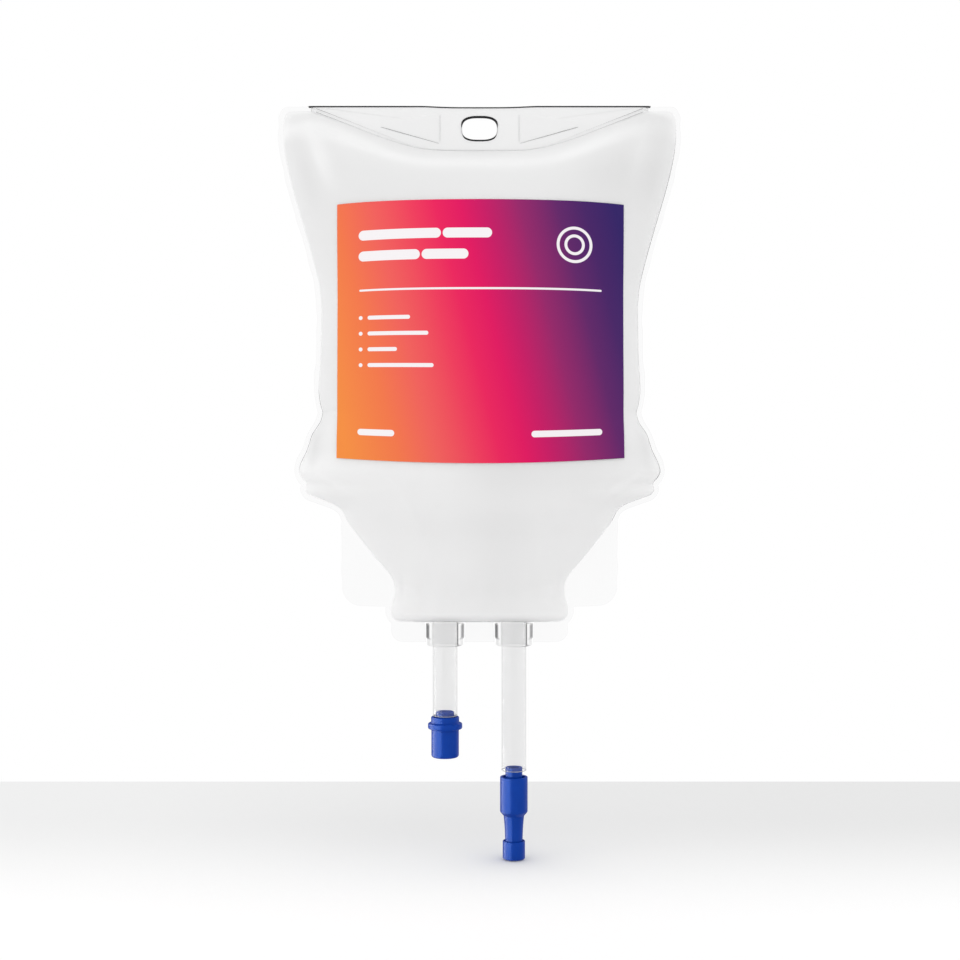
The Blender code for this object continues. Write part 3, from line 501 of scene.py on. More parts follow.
def film_half_width(height):
    """Half width of the clear film: the body's outline grown by a round margin, or the
    flap beside the funnel, or the strip below, whichever is widest."""
    outline_z = np.linspace(BASE_LEVEL, EAR_TOP, 1200)
    reach = FILM_MARGIN**2 - (outline_z[None, :] - height[:, None]) ** 2
    grown = np.where(reach >= 0, body_edge(outline_z)[None, :] + np.sqrt(np.maximum(reach, 0)), 0).max(axis=1)
    flap = round_ended(height, FLAP_BOTTOM, FLAP_HALF_WIDTH, FLAP_CORNER_RADIUS)
    land = round_ended(height, LAND_BOTTOM, LAND_HALF_WIDTH, LAND_CORNER_RADIUS)
    flap = np.where(height > NOTCH_LEVEL, 0, flap)
    land = np.where(height > FOOT_LEVEL, 0, land)
    return np.max([grown, flap, land], axis=0)


def tab_top_height(x):
    """Height of the tab's top edge, which dips a little in the middle."""
    inside = np.clip(np.abs(x) / TAB_DIP_HALF_WIDTH, 0, 1)
    return TAB_TOP - TAB_DIP * (1 + np.cos(math.pi * inside**2)) / 2


def collar_radius(height):
    """Outer radius of a collar at this height, along its taper."""
    down = (COLLAR_TOP - height) / COLLAR_HEIGHT
    return mix(COLLAR_TOP_DIAMETER, COLLAR_BOTTOM_DIAMETER, down) / 2


def rounded_path(corners, closed=True):
    """Points along straight runs whose corners are rounded.

    A corner is (a, b) or (a, b, radius). Its arc touches both runs, and its radius is
    limited so that it takes less than half of the shorter run.
    """
    points = []
    count = len(corners)
    for index, corner in enumerate(corners):
        place = np.array(corner[:2], dtype=float)
        if len(corner) < 3 or (not closed and index in (0, count - 1)):
            points.append(place[None])
            continue
        before = np.array(corners[index - 1][:2]) - place
        after = np.array(corners[(index + 1) % count][:2]) - place
        shorter = min(np.linalg.norm(before), np.linalg.norm(after))
        before /= np.linalg.norm(before)
        after /= np.linalg.norm(after)
        half_angle = math.acos(np.clip(before @ after, -1, 1)) / 2
        radius = min(corner[2], 0.48 * shorter * math.tan(half_angle))
        middle = before + after
        centre = place + middle / np.linalg.norm(middle) * radius / math.sin(half_angle)
        start = place + before * radius / math.tan(half_angle) - centre
        end = place + after * radius / math.tan(half_angle) - centre
        turn = math.atan2(start[0] * end[1] - start[1] * end[0], start @ end)
        angle = np.linspace(0, turn, ARC_STEPS + 1)
        points.append(centre + np.stack([
            start[0] * np.cos(angle) - start[1] * np.sin(angle),
            start[0] * np.sin(angle) + start[1] * np.cos(angle),
        ], axis=1))
    return np.concatenate(points)


def resampled(outline, count):
    """A closed outline's points, spread evenly along its length."""
    ring = np.concatenate([outline, outline[:1]])
    run = np.concatenate([[0], np.cumsum(np.linalg.norm(np.diff(ring, axis=0), axis=1))])
    at = np.linspace(0, run[-1], count, endpoint=False)
    return np.stack([np.interp(at, run, ring[:, 0]), np.interp(at, run, ring[:, 1])], axis=1)


def grid_quads(rows, columns, wrap_rows=False, wrap_columns=False):
    """Corner numbers of the quads of a grid whose points are numbered row by row."""
    row = np.arange(rows if wrap_rows else rows - 1)[:, None]
    column = np.arange(columns if wrap_columns else columns - 1)[None, :]
    next_row = (row + 1) % rows
    next_column = (column + 1) % columns
    corners = (
        row * columns + column,
        row * columns + next_column,
        next_row * columns + next_column,
        next_row * columns + column,
    )
    return np.stack(corners, axis=-1).reshape(-1, 4)


def grid_shell(*points, wrap_rows=False, wrap_columns=False):
    """One part of a piece: a grid of x, y, z arrays as (points, quads)."""
    grid = np.stack(np.broadcast_arrays(*points), axis=-1)
    rows, columns = grid.shape[:2]
    return grid.reshape(-1, 3), grid_quads(rows, columns, wrap_rows, wrap_columns)


def closed_sheet(near, far, wrap_columns=False):
    """A closed thin sheet between two grids of places, each given as (x, y, z).

    The grids are joined by a ring of quads all round their rim, or where they wrap round
    a hole by one ring along the first row and one along the last.
    """
    near_points, quads = grid_shell(*near, wrap_columns=wrap_columns)
    far_points, _ = grid_shell(*far, wrap_columns=wrap_columns)
    count = len(near_points)
    number = np.arange(count).reshape(np.broadcast(*near).shape)
    rims = [np.concatenate([number[0], number[1:, -1], number[-1, -2::-1], number[-2:0:-1, 0]])]
    if wrap_columns:
        rims = [number[0], number[-1]]
    walls = []
    for rim in rims:
        ahead = np.roll(rim, -1)
        walls.append(np.stack([rim, ahead, ahead + count, rim + count], axis=1))
    return np.concatenate([near_points, far_points]), np.concatenate([quads, quads[:, ::-1] + count] + walls)


def thin_sheet(x, z, half, wrap_columns=False):
    """A closed sheet over a grid of places (x, z), with this half thickness on both sides of
    the middle plane."""
    return closed_sheet((x, -half, z), (x, half, z), wrap_columns)


def turned_surface(profile, centre_x):
    """A profile of (radius, height) points turned about a vertical axis at centre_x.

    It either closes on itself as a ring or starts and ends on the axis.
    """
    angle = np.arange(TURN_SEGMENTS) * 2 * math.pi / TURN_SEGMENTS
    radius, height = profile[:, :1], profile[:, 1:]
    ring = profile[0, 0] > 0
    x = centre_x + radius * np.cos(angle)
    return grid_shell(x, radius * np.sin(angle), height, wrap_rows=ring, wrap_columns=True)


def bead(path, half_width, half_depth, closed=False, lift=0.0):
    """A bead laid along a path of (x, z) points in the middle plane.

    Its section is an ellipse. half_width may change from point to point. lift is how
    far its middle lies in front of the middle plane.
    """
    if closed:
        along = np.roll(path, -1, axis=0) - np.roll(path, 1, axis=0)
    else:
        along = np.gradient(path, axis=0)
    along /= np.linalg.norm(along, axis=1)[:, None]
    angle = np.arange(BEAD_SIDES) * 2 * math.pi / BEAD_SIDES
    width = np.broadcast_to(half_width, len(path))[:, None] * np.cos(angle)
    x = path[:, :1] + along[:, 1:] * width
    z = path[:, 1:] - along[:, :1] * width
    depth = -lift + half_depth * np.sin(angle)[None, :]
    points, quads = grid_shell(x, depth, z, wrap_rows=closed, wrap_columns=True)
    if closed:
        return points, quads
    caps = np.array([[end[0], -lift, end[1]] for end in (path[0], path[-1])])
    ring = np.arange(BEAD_SIDES)
    ahead = np.roll(ring, -1)
    first = np.full(BEAD_SIDES, len(points))
    tail = (len(path) - 1) * BEAD_SIDES
    start = np.stack([ring, first, first, ahead], axis=1)
    end = np.stack([tail + ahead, first + 1, first + 1, tail + ring], axis=1)
    return np.concatenate([points, caps]), np.concatenate([quads, start, end])


def along_bead(value):
    """A value along a path, for every point of the bead laid on it and of its two end caps."""
    return np.concatenate([np.repeat(value, BEAD_SIDES), [0, 0]])


def new_object(name, data):
    """An object in the scene, at the origin."""
    holder = bpy.data.objects.new(name, data)
    bpy.context.scene.collection.objects.link(holder)
    return holder


def add_piece(
    name, parts, material, replaced="bag", body="hanging_bag",
    sharp=SHARP_ANGLE, values=None, uv=None,
):
    """Put a piece into the scene: its parts joined, doubled points merged, faces outward.

    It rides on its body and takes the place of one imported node. values are arrays kept
    as point attributes, and uv is an array of (u, v) for each point.
    """
    offsets = np.cumsum([0] + [len(points) for points, _ in parts])
    points = np.concatenate([points for points, _ in parts]).astype(np.float32)
    quads = np.concatenate([quads + offset for (_, quads), offset in zip(parts, offsets)]).astype(np.int32)
    mesh = bpy.data.meshes.new(name)
    mesh.vertices.add(len(points))
    mesh.vertices.foreach_set("co", points.ravel())
    mesh.loops.add(quads.size)
    mesh.loops.foreach_set("vertex_index", quads.ravel())
    mesh.polygons.add(len(quads))
    mesh.polygons.foreach_set("loop_start", np.arange(0, quads.size, 4, dtype=np.int32))
    mesh.update(calc_edges=True)
    for key, value in (values or {}).items():
        attribute = mesh.attributes.new(key, "FLOAT", "POINT")
        attribute.data.foreach_set("value", np.asarray(value, dtype=np.float32).ravel())
    if uv is not None:
        layer = mesh.uv_layers.new(name="print_place")
        layer.data.foreach_set("uv", uv[quads.ravel()].astype(np.float32).ravel())
    shape = bmesh.new()
    shape.from_mesh(mesh)
    bmesh.ops.remove_doubles(shape, verts=shape.verts, dist=0.0000008)
    bmesh.ops.dissolve_degenerate(shape, edges=shape.edges, dist=0.0000001)
    bmesh.ops.recalc_face_normals(shape, faces=shape.faces)
    shape.to_mesh(mesh)
    shape.free()
    mesh.shade_smooth()
    mesh.set_sharp_from_angle(angle=math.radians(sharp))
    mesh.materials.append(material)
    piece = new_object(name, mesh)
    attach(piece, body)
    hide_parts(replaced)
    return piece


def spread(start, end, count, ease):
    """Values from start to end: evenly spaced with ease 0, and crowding both ends with ease 1."""
    even = np.linspace(0, 1, count)
    crowded = (1 - np.cos(math.pi * even)) / 2
    return mix(start, end, mix(even, crowded, ease))


def build_pillow(material):
    """The filled pillow: a front and a back grid over share and level, joined at the edge.

    The value "tone" carries the painted highlight and painted shade of each point.
    """
    share = np.sin(np.linspace(-math.pi / 2, math.pi / 2, 121))
    fine_down_to = -0.0050
    upper = spread(EAR_LEVEL, fine_down_to, 22, ease=0.7)[:-1]
    middle = np.linspace(fine_down_to, FOOT_LEVEL, 290)[:-1]
    lower = mix(FOOT_LEVEL, BASE_LEVEL, np.sin(np.linspace(0, math.pi / 2, 16)))
    level = np.concatenate([upper, middle, lower])
    grid_share, grid_level = np.meshgrid(share, level)
    x, depth, z = body_surface(grid_share, grid_level, puckers=1.0)
    tone = painted_body_shading(x, grid_level)
    near, quads = grid_shell(x, -depth, z)
    far = near * (1, -1, 1)
    values = {"tone": np.concatenate([tone.ravel()] * 2)}
    parts = [(near, quads), (far, quads[:, ::-1])]
    return add_piece("milky_pillow", parts, material, values=values)


def film_edge(height):
    """Half width of the clear film with its slightly uneven cut, a sum of waves that only
    ever takes film away."""
    most = sum(share for _, share, _ in CUT_WAVES)
    return film_half_width(height) + FILM_RIPPLE * (waves(height, CUT_WAVES) - most)


def margin_strip(side, port_x):
    """The clear film outside one side of the body, down to the strip that the ports cross.

    A sheet over height: its inner edge lies just inside the body, then beside the
    port's sleeve, and its outer edge is the film's cut.
    """
    height = np.concatenate([
        np.linspace(TAB_TOP - SEAT_GAP, BASE_LEVEL, 460),
        np.linspace(BASE_LEVEL - 0.0002, LAND_BOTTOM, 60),
    ])
    outer = film_edge(height)
    over_ear = smooth_step(height, EAR_TOP - MARGIN_TUCK, EAR_TOP)
    beside_body = mix(body_edge(height) - MARGIN_TUCK, TAB_HALF_WIDTH - 3 * MARGIN_TUCK, over_ear)
    beside_port = side * port_x + sleeve_radius(height)
    inner = np.where(height > BASE_LEVEL, beside_body, beside_port)
    inner = np.minimum(inner, outer - MARGIN_LEAST)
    share = spread(0, 1, 12, ease=1.0)[None, :]
    x = side * mix(inner[:, None], outer[:, None], share)
    half = FILM_THICKNESS / 2 * np.sqrt(np.clip(1 - share**MARGIN_ROUNDING, MARGIN_THINNEST, 1))
    return thin_sheet(x, height[:, None], half)


def land_panel(left, right):
    """The flat clear strip under the body between the two port sleeves."""
    height = np.linspace(BASE_LEVEL + LAND_LAP, LAND_BOTTOM, 40)
    sleeve = sleeve_radius(height)
    share = np.linspace(0, 1, 16)[None, :]
    x = mix((left + sleeve)[:, None], (right - sleeve)[:, None], share)
    return thin_sheet(x, height[:, None], np.float64(FILM_THICKNESS / 2))


def build_weld(material):
    """The weld between the tab and the filled body, a sheet that follows the seam."""
    end = TAB_HALF_WIDTH - WELD_END_INSET
    x = np.linspace(-end, end, 360)
    share = np.linspace(-1, 1, 5)[:, None]
    z = seam_height(x) + share * (weld_half_width(x) + WELD_LAP)
    z = np.minimum(z, TAB_TOP - WELD_UNDER_TOP + WELD_LEAST_HALF_HEIGHT * share)
    return add_piece("seam_weld", [thin_sheet(x, z, np.float64(FILM_THICKNESS / 2))], material)


def sleeve_radius(height):
    """How far from a port's middle the flat film ends, just clear of the collar."""
    return collar_radius(np.minimum(height, COLLAR_TOP)) + SEAT_GAP


def build_margin(material, port_places):
    """The clear film outside the body: margins, corner flaps and the strip at the ports."""
    left, right = port_places
    parts = [margin_strip(-1, left), margin_strip(1, right), land_panel(left, right)]
    return add_piece("clear_margin", parts, material)


def slot_outline(count):
    """The hanger slot: a superellipse whose top lies at the origin."""
    angle = np.linspace(0, 2 * math.pi, count, endpoint=False)
    power = 2 / SLOT_SQUARENESS
    x = SLOT_WIDTH / 2 * np.sign(np.cos(angle)) * np.abs(np.cos(angle)) ** power
    z = SLOT_HEIGHT / 2 * np.sign(np.sin(angle)) * np.abs(np.sin(angle)) ** power - SLOT_HEIGHT / 2
    return resampled(np.stack([x, z], axis=1), count)


def tab_outline():
    """Outline of the tab, anticlockwise from its right end: dipped top edge, then the seam.

    It laps a little over the body in the middle, where there is no weld.
    """
    x = np.linspace(TAB_HALF_WIDTH, -TAB_HALF_WIDTH, 500)
    top = np.stack([x, tab_top_height(x)], axis=1)
    weld = weld_half_width(x)
    lower = seam_height(x) + weld - np.where(weld < WELD_CLOSED, TAB_LAP, 0)
    bottom = np.stack([x, np.minimum(lower, top[:, 1] - TAB_LEAST_HEIGHT)], axis=1)[::-1]
    return np.concatenate([top, bottom])


def build_tab(material):
    """The welded tab: a sheet between the slot's edge and the tab's outline.

    Each point of the outline is joined to the slot's edge in the same direction from
    the slot's middle, by a row of points that crowd towards the slot. The sheet thins at
    both ends of a row.
    """
    middle = np.array([0, -SLOT_HEIGHT / 2])
    outer = resampled(tab_outline(), 900)
    slot = slot_outline(2000) - middle
    bearing = np.arctan2(slot[:, 1], slot[:, 0])
    order = np.argsort(bearing)
    away = outer - middle
    towards = np.arctan2(away[:, 1], away[:, 0])
    reach = np.interp(towards, bearing[order], np.linalg.norm(slot[order], axis=1), period=2 * math.pi)
    inner = middle + np.stack([np.cos(towards), np.sin(towards)], axis=1) * reach[:, None]
    share = np.linspace(0, 1, 14)[:, None] ** TAB_CROWDING
    x = mix(inner[None, :, 0], outer[None, :, 0], share)
    z = mix(inner[None, :, 1], outer[None, :, 1], share)
    from_edge = np.minimum(share, 1 - share) / TAB_RIM_SHARE
    half = TAB_THICKNESS / 2 * np.sqrt(np.clip(from_edge, TAB_RIM_THINNEST, 1))
    return add_piece("welded_tab", [thin_sheet(x, z, half, wrap_columns=True)], material)


def panel_outline(side, count):
    """One raised panel beside the slot: tall next to the slot and narrow at its outer end."""
    corners = (
        (PANEL_INNER_X, PANEL_INNER_TOP),
        (PANEL_INNER_X, PANEL_INNER_LOW),
        (PANEL_OUTER_X, PANEL_OUTER_LOW),
        (PANEL_OUTER_X, PANEL_OUTER_TOP),
    )
    return resampled(rounded_path([(side * x, z, PANEL_CORNER_RADIUS) for x, z in corners]), count)


def raised_panel(side, face):
    """A raised panel on the front (face 1) or back (face -1) of the tab.

    It is a grid from the middle of its floor, sunk a little into the tab, out to its
    outline and back in over a rounded edge to the middle of its level top.
    """
    outline = panel_outline(side, 160)
    centre = outline.mean(axis=0)
    inward = np.array([1, 0, 0, 0.02, 0.05, 0.10, 0.18, 0.30, 0.5, 0.75, 1])[:, None]
    rise = np.sin(np.clip(inward / PANEL_EDGE_SHARE, 0, 1) * math.pi / 2)
    depth = TAB_THICKNESS / 2 - PANEL_SINK + rise * PANEL_HEIGHT
    depth[:2] = TAB_THICKNESS / 2 - 2 * PANEL_SINK
    x = mix(outline[None, :, 0], centre[0], inward)
    z = mix(outline[None, :, 1], centre[1], inward)
    return grid_shell(x, -face * depth, z, wrap_columns=True)


def build_panels(material):
    """The four raised panels: one on each side of the slot, front and back."""
    parts = [raised_panel(side, face) for side in (-1, 1) for face in (-1, 1)]
    return add_piece("raised_panels", parts, material)


def build_slot_rim(material):
    """The slot's cut edge, painted dark as a stand-in for the dark that refraction gives it. It
    is wide along the top and down to the shoulders of the slot, narrower along the bottom, and
    fades out between the two."""
    outline = slot_outline(320)
    height = outline[:, 1]
    upper = smooth_step(height / SLOT_HEIGHT, *SLOT_RIM_TOP_WIDENS)
    lower = smooth_step(-height / SLOT_HEIGHT, *SLOT_RIM_BOTTOM_WIDENS)
    half_width = SLOT_RIM_THINNEST + SLOT_RIM_AT_TOP * upper + SLOT_RIM_AT_BOTTOM * lower
    along = np.roll(outline, -1, axis=0) - np.roll(outline, 1, axis=0)
    outward = np.stack([along[:, 1], -along[:, 0]], axis=1) / np.linalg.norm(along, axis=1)[:, None]
    path = outline + SLOT_RIM_OUTWARD * outward * half_width[:, None]
    part = bead(path, half_width, TAB_THICKNESS / 2 + SLOT_RIM_PROUD, closed=True)
    return add_piece("slot_rim", [part], material, sharp=BEAD_SHARP_ANGLE)


def build_tab_edge(material):
    """The tab's top edge, a bead as thick as the tab that turns down at its two tips, painted dark
    as a stand-in for the dark that refraction gives it.
    """
    end = TAB_HALF_WIDTH - TAB_EDGE_END_INSET
    x = np.linspace(end, -end, 300)
    top = np.stack([x, tab_top_height(x) - TAB_EDGE_HALF_WIDTH], axis=1)
    tip = np.array([[TAB_HALF_WIDTH - TAB_TIP_INSET, TAB_TOP - drop] for drop in TAB_TIP_DROPS])
    path = np.concatenate([tip[::-1], top, tip * (-1, 1)])
    width = np.full(len(path), TAB_EDGE_HALF_WIDTH)
    width[[0, -1]] = TAB_EDGE_HALF_WIDTH / 3
    part = bead(path, width, TAB_THICKNESS / 2 + TAB_EDGE_PROUD)
    return add_piece("tab_edge", [part], material, sharp=BEAD_SHARP_ANGLE)


def build_weld_lines(material):
    """Thin lines along both sides of the clear weld, on the front and the back. They show
    most near the tab's two tips."""
    end = TAB_HALF_WIDTH - WELD_LINE_END_INSET
    x = np.linspace(-end, end, 400)
    beside = weld_half_width(x) + LINE_OFFSET
    upper = np.stack([x, np.minimum(seam_height(x) + beside, TAB_TOP - WELD_LINE_UNDER_TOP)], axis=1)
    lower = np.stack([x, seam_height(x) - beside], axis=1)
    half = WELD_LINE_HALF_WIDTH
    lift = TAB_THICKNESS / 2
    parts = [bead(line, half, half, lift=face * lift) for face in (1, -1) for line in (upper, lower)]
    values = {"strength": np.tile(along_bead(read_table(WELD_LINE, np.abs(x))), 4)}
    return add_piece("weld_lines", parts, material, sharp=BEAD_SHARP_ANGLE, values=values)


def build_panel_edges(material):
    """The panels' lower and inner edges, thin grey lines on the front and the back: painted
    shade along the raised edges, most along the lower ones that face down.
    """
    share = np.linspace(0.02, 0.98, 90)
    across = mix(PANEL_INNER_X, PANEL_OUTER_X, share)
    slanting = np.stack([across, mix(PANEL_INNER_LOW, PANEL_OUTER_LOW, share)], axis=1)
    half_width = mix(*PANEL_LINE_HALF_WIDTHS, np.sin(math.pi * share**1.8) ** 0.7)
    inset = PANEL_LINE_END_INSET
    height = np.linspace(PANEL_INNER_LOW + inset, PANEL_INNER_TOP - inset, 60)
    upright = np.stack([np.full(60, PANEL_INNER_X), height], axis=1)
    parts = []
    for face in (1, -1):
        lift = face * (TAB_THICKNESS / 2 + 0.5 * PANEL_HEIGHT)
        for side in (-1, 1):
            mirror = (side, 1)
            parts.append(bead(slanting * mirror, half_width, PANEL_LINE_HALF_DEPTH, lift=lift))
            parts.append(bead(upright * mirror, PANEL_UPRIGHT_HALF_WIDTH, PANEL_LINE_HALF_DEPTH, lift=lift))
    return add_piece("panel_edges", parts, material, sharp=BEAD_SHARP_ANGLE)


def side_weld_path(outside):
    """The body's outline, moved outwards, from the right ear down to the base and up again."""
    height = np.linspace(EAR_TOP - EDGE_LINE_UNDER_EAR, BASE_LEVEL + EDGE_LINE_OVER_BASE, 900)
    right = np.stack([body_edge(height) + outside, height], axis=1)
    half_width = right[-1, 0] - BASE_LINE_END_INSET
    across = np.linspace(half_width, -half_width, 140)
    base = np.stack([across, np.full(140, BASE_LEVEL - outside)], axis=1)
    return np.concatenate([right, base, right[::-1] * (-1, 1)])


def read_table(table, at):
    """Values between the rows of a table of (place in millimetres, value), place by place."""
    rows = np.array(sorted(table))
    return np.interp(at * 1000, rows[:, 0], rows[:, 1])


def build_edge_line(material):
    """The fine line where the body's two films meet, partly the seam and partly painted shade.
    The value "strength" says how far it shows: most down the right side, away from the light,
    and under the base.
    """
    path = side_weld_path(LINE_OFFSET)
    across, height = path.T
    strength = np.where(across > 0, read_table(RIGHT_LINE, height), read_table(LEFT_LINE, height))
    strength = np.where(height < BASE_LEVEL, read_table(BASE_LINE, across), strength)
    part = bead(path, EDGE_LINE_HALF_WIDTH, FILM_THICKNESS / 2 + EDGE_LINE_PROUD)
    values = {"strength": along_bead(strength)}
    return add_piece("edge_line", [part], material, sharp=BEAD_SHARP_ANGLE, values=values)


def label_layer(distance):
    """A grid of points in front of the body, at this distance along its surface normal."""
    across = np.sin(np.linspace(-1, 1, 141)) / math.sin(1)
    share, drop = np.meshgrid(across, np.linspace(0, 1, 121))
    bow = 1 - share**2
    x = LABEL_SHIFT + share * LABEL_HALF_WIDTH
    top = LABEL_TOP + LABEL_TOP_BOW * bow
    bottom = LABEL_TOP - LABEL_HEIGHT - LABEL_BOTTOM_BOW * bow
    z = mix(top, bottom, drop)
    near = 0.0005
    slope_x = (body_depth_at(x + near, z) - body_depth_at(x - near, z)) / (2 * near)
    slope_z = (body_depth_at(x, z + near) - body_depth_at(x, z - near)) / (2 * near)
    stretch = distance / np.sqrt(1 + slope_x**2 + slope_z**2)
    depth = body_depth_at(x, z)
    place = np.stack([(share + 1) / 2, 1 - drop * LABEL_HEIGHT / (2 * LABEL_HALF_WIDTH)], axis=-1)
    return (x - slope_x * stretch, -depth - stretch, z - slope_z * stretch), place


def build_label(material):
    """The label: a thin curved sheet on the body's front. Its UV is even in both directions."""
    inner, place = label_layer(LABEL_LIFT)
    outer, _ = label_layer(LABEL_LIFT + LABEL_THICKNESS)
    uv = np.concatenate([place.reshape(-1, 2)] * 2)
    return add_piece("printed_label", [closed_sheet(outer, inner)], material, "label", uv=uv)


def node_box(node):
    """Middle across, lowest and highest height, and radius of a packed round node."""
    low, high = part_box(node)
    return (low.x + high.x) / 2, low.z, high.z, (high.x - low.x) / 2


def build_collar(node, name, material):
    """A short clear collar, nearly straight, with a narrower rounded foot, round one port tube.

    The value "edge" says how dark its painted line looks where the wall turns edge on, a
    stand-in for the dark of refraction and for shade. It is dark outside and down the bore's
    right side, away from the light, and pale round the foot.
    """
    centre_x, low, high, _ = node_box(node)
    bore = TUBE_RADIUS + SEAT_GAP
    lip = 0.0006
    outer = COLLAR_TOP_DIAMETER / 2
    foot = COLLAR_BOTTOM_DIAMETER / 2
    step_top = low + 0.0034
    step_bottom = low + 0.0024
    profile = rounded_path([
        (bore, high, lip / 3),
        (outer, high, lip / 3),
        (outer - 0.00020, high - lip),
        (outer - 0.00026, step_top, lip),
        (foot - 0.00005, step_bottom, lip),
        (foot, low, lip),
        (bore, low, lip),
    ])
    part = turned_surface(profile, centre_x)
    points = part[0]
    across = points[:, 0] - centre_x
    outside = smooth_step(np.hypot(across, points[:, 1]), bore + 0.0002, foot - 0.0004)
    to_right = smooth_step(across, -bore, bore)
    above_foot = mix(0.16, 1.0, smooth_step(points[:, 2], step_bottom + 0.0002, step_top))
    below_top = smooth_step(high - points[:, 2], 0.0001, 0.0005)
    bore_painted_shade = mix(0.12, 1.0, to_right)
    outer_painted_shade = mix(0.90, 0.64, to_right) * above_foot * below_top
    values = {"edge": mix(bore_painted_shade, outer_painted_shade, outside), "outside": outside}
    return add_piece(name, [part], material, node, values=values)


def build_tube(node, name, material):
    """A clear port tube, from its blind hole in the bag to its open lower end.

    The value "outside" is 1 on its outer skin and 0 on its bore.
    """
    centre_x, low, high, radius = node_box(node)
    edge = 0.00025
    profile = rounded_path([
        (TUBE_BORE_RADIUS, high),
        (radius, high),
        (radius, low, edge),
        (TUBE_BORE_RADIUS, low, edge),
    ])
    part = turned_surface(profile, centre_x)
    away = np.hypot(part[0][:, 0] - centre_x, part[0][:, 1])
    values = {"outside": smooth_step(away, TUBE_BORE_RADIUS + edge, radius - edge)}
    return add_piece(name, [part], material, node, values=values)


def build_tube_end(node, name, material):
    """The cut lower edge of a port tube, a fine pale ring: a painted highlight on the cut edge."""
    centre_x, low, _, radius = node_box(node)
    angle = np.arange(BEAD_SIDES) * 2 * math.pi / BEAD_SIDES
    thickness = 0.00013
    middle = (radius - 0.00012, low + 0.00014)
    section = middle + thickness * np.stack([np.cos(angle), np.sin(angle)], axis=1)
    part = turned_surface(section, centre_x)
    return add_piece(name, [part], material, node, sharp=BEAD_SHARP_ANGLE)


def build_injection_closure(material):
    """The injection closure: a spigot and a rim round it, a round ring, and a barrel."""
    centre_x, bottom, spigot_top, ring = node_box("injection_closure")
    tube_end = spigot_top - 0.0018
    rim_top = tube_end - SEAT_GAP
    ring_top = rim_top - 0.0025
    ring_bottom = ring_top - 0.0024
    spigot = TUBE_BORE_RADIUS - SEAT_GAP / 3
    bore = 0.0016
    rim = 0.0056
    barrel = 0.0055
    mouth = 0.0032
    lip_top = bottom + 0.0010
    chamber = 0.0041
    chamber_top = lip_top + 0.0038
    groove = rim_top - 0.0030
    profile = rounded_path([
        (bore, spigot_top, EDGE_RADIUS),
        (spigot, spigot_top, 2 * EDGE_RADIUS),
        (spigot, groove, EDGE_RADIUS),
        (rim - 0.0011, groove, EDGE_RADIUS),
        (rim - 0.0011, rim_top, EDGE_RADIUS),
        (rim, rim_top, 1.5 * EDGE_RADIUS),
        (rim, ring_top, 1.5 * EDGE_RADIUS),
        (ring, ring_top, 0.00115),
        (ring, ring_bottom, 0.00115),
        (rim, ring_bottom, 1.2 * EDGE_RADIUS),
        (barrel, ring_bottom - 0.0004, EDGE_RADIUS),
        (barrel, bottom, 0.0011),
        (mouth, bottom, EDGE_RADIUS),
        (mouth, lip_top),
        (chamber, lip_top),
        (chamber, chamber_top),
        (bore, chamber_top),
    ])
    part = turned_surface(profile, centre_x)
    return add_piece("injection_cap", [part], material, "injection_closure")


def build_septum(material):
    """The rubber septum: a plug behind the mouth's lip, with a slightly dished face."""
    centre_x, face, top, radius = node_box("injection_septum")
    seat = top - 0.0032
    face_radius = 0.0029
    dish = [(face_radius * share, face + 0.00012 * (1 - share**2)) for share in (0, 0.25, 0.5, 0.75)]
    profile = rounded_path(dish + [
        (face_radius, face, EDGE_RADIUS),
        (face_radius, seat),
        (radius, seat),
        (radius, top, EDGE_RADIUS),
        (0, top),
    ], closed=False)
    part = turned_surface(profile, centre_x)
    return add_piece("rubber_septum", [part], material, "injection_septum")


def build_stub(material):
    """The spike port's stub: a short pipe with a thin web across its bore."""
    centre_x, bottom, top, radius = node_box("spike_stub")
    bore = radius - 0.0008
    web_top = top - 0.0080
    profile = rounded_path([
        (0, web_top),
        (bore, web_top, EDGE_RADIUS),
        (bore, top, EDGE_RADIUS),
        (radius, top, EDGE_RADIUS),
        (radius, bottom, EDGE_RADIUS / 2),
        (bore, bottom, EDGE_RADIUS / 2),
        (bore, web_top - 0.0006),
        (0, web_top - 0.0006),
    ], closed=False)
    part = turned_surface(profile, centre_x)
    return add_piece("spike_pipe", [part], material, "spike_stub")


def build_cover(material):
    """The pull-off cover: a barrel over the stub, a waisted neck and a lipped foot."""
    centre_x, bottom, rim_top, barrel = node_box("spike_cover")
    _, stub_bottom, _, stub_radius = node_box("spike_stub")
    barrel_bottom = stub_bottom - 0.0020
    neck_top = barrel_bottom - 0.0016
    foot_top = bottom + 0.0073
    floor = stub_bottom - 0.0026
    mouth = barrel - 0.0010
    grip = stub_radius + 0.0002
    neck = 0.0035
    neck_top_radius = 0.0041
    foot = 0.00445
    groove_floor = foot_top - 0.0008
    inner = [
        (0, floor),
        (grip, floor, EDGE_RADIUS),
        (grip, rim_top - 0.0050, EDGE_RADIUS),
        (mouth, rim_top - 0.0050, EDGE_RADIUS),
        (mouth, rim_top, EDGE_RADIUS),
        (barrel, rim_top, EDGE_RADIUS),
        (barrel, barrel_bottom, 3 * EDGE_RADIUS),
        (neck_top_radius, neck_top, EDGE_RADIUS),
    ]
    waist = [
        (neck + (neck_top_radius - neck) * (1 - share) ** 2, mix(neck_top, groove_floor, share))
        for share in np.linspace(0.04, 1, 14)
    ]
    lipped_foot = [
        (foot - 0.00045, groove_floor, EDGE_RADIUS / 2),
        (foot - 0.00045, foot_top, EDGE_RADIUS / 2),
        (foot, foot_top, EDGE_RADIUS),
        (foot, bottom, 2 * EDGE_RADIUS),
        (0, bottom),
    ]
    part = turned_surface(rounded_path(inner + waist + lipped_foot, closed=False), centre_x)
    return add_piece("pull_off_cover", [part], material, "spike_cover", "cover")


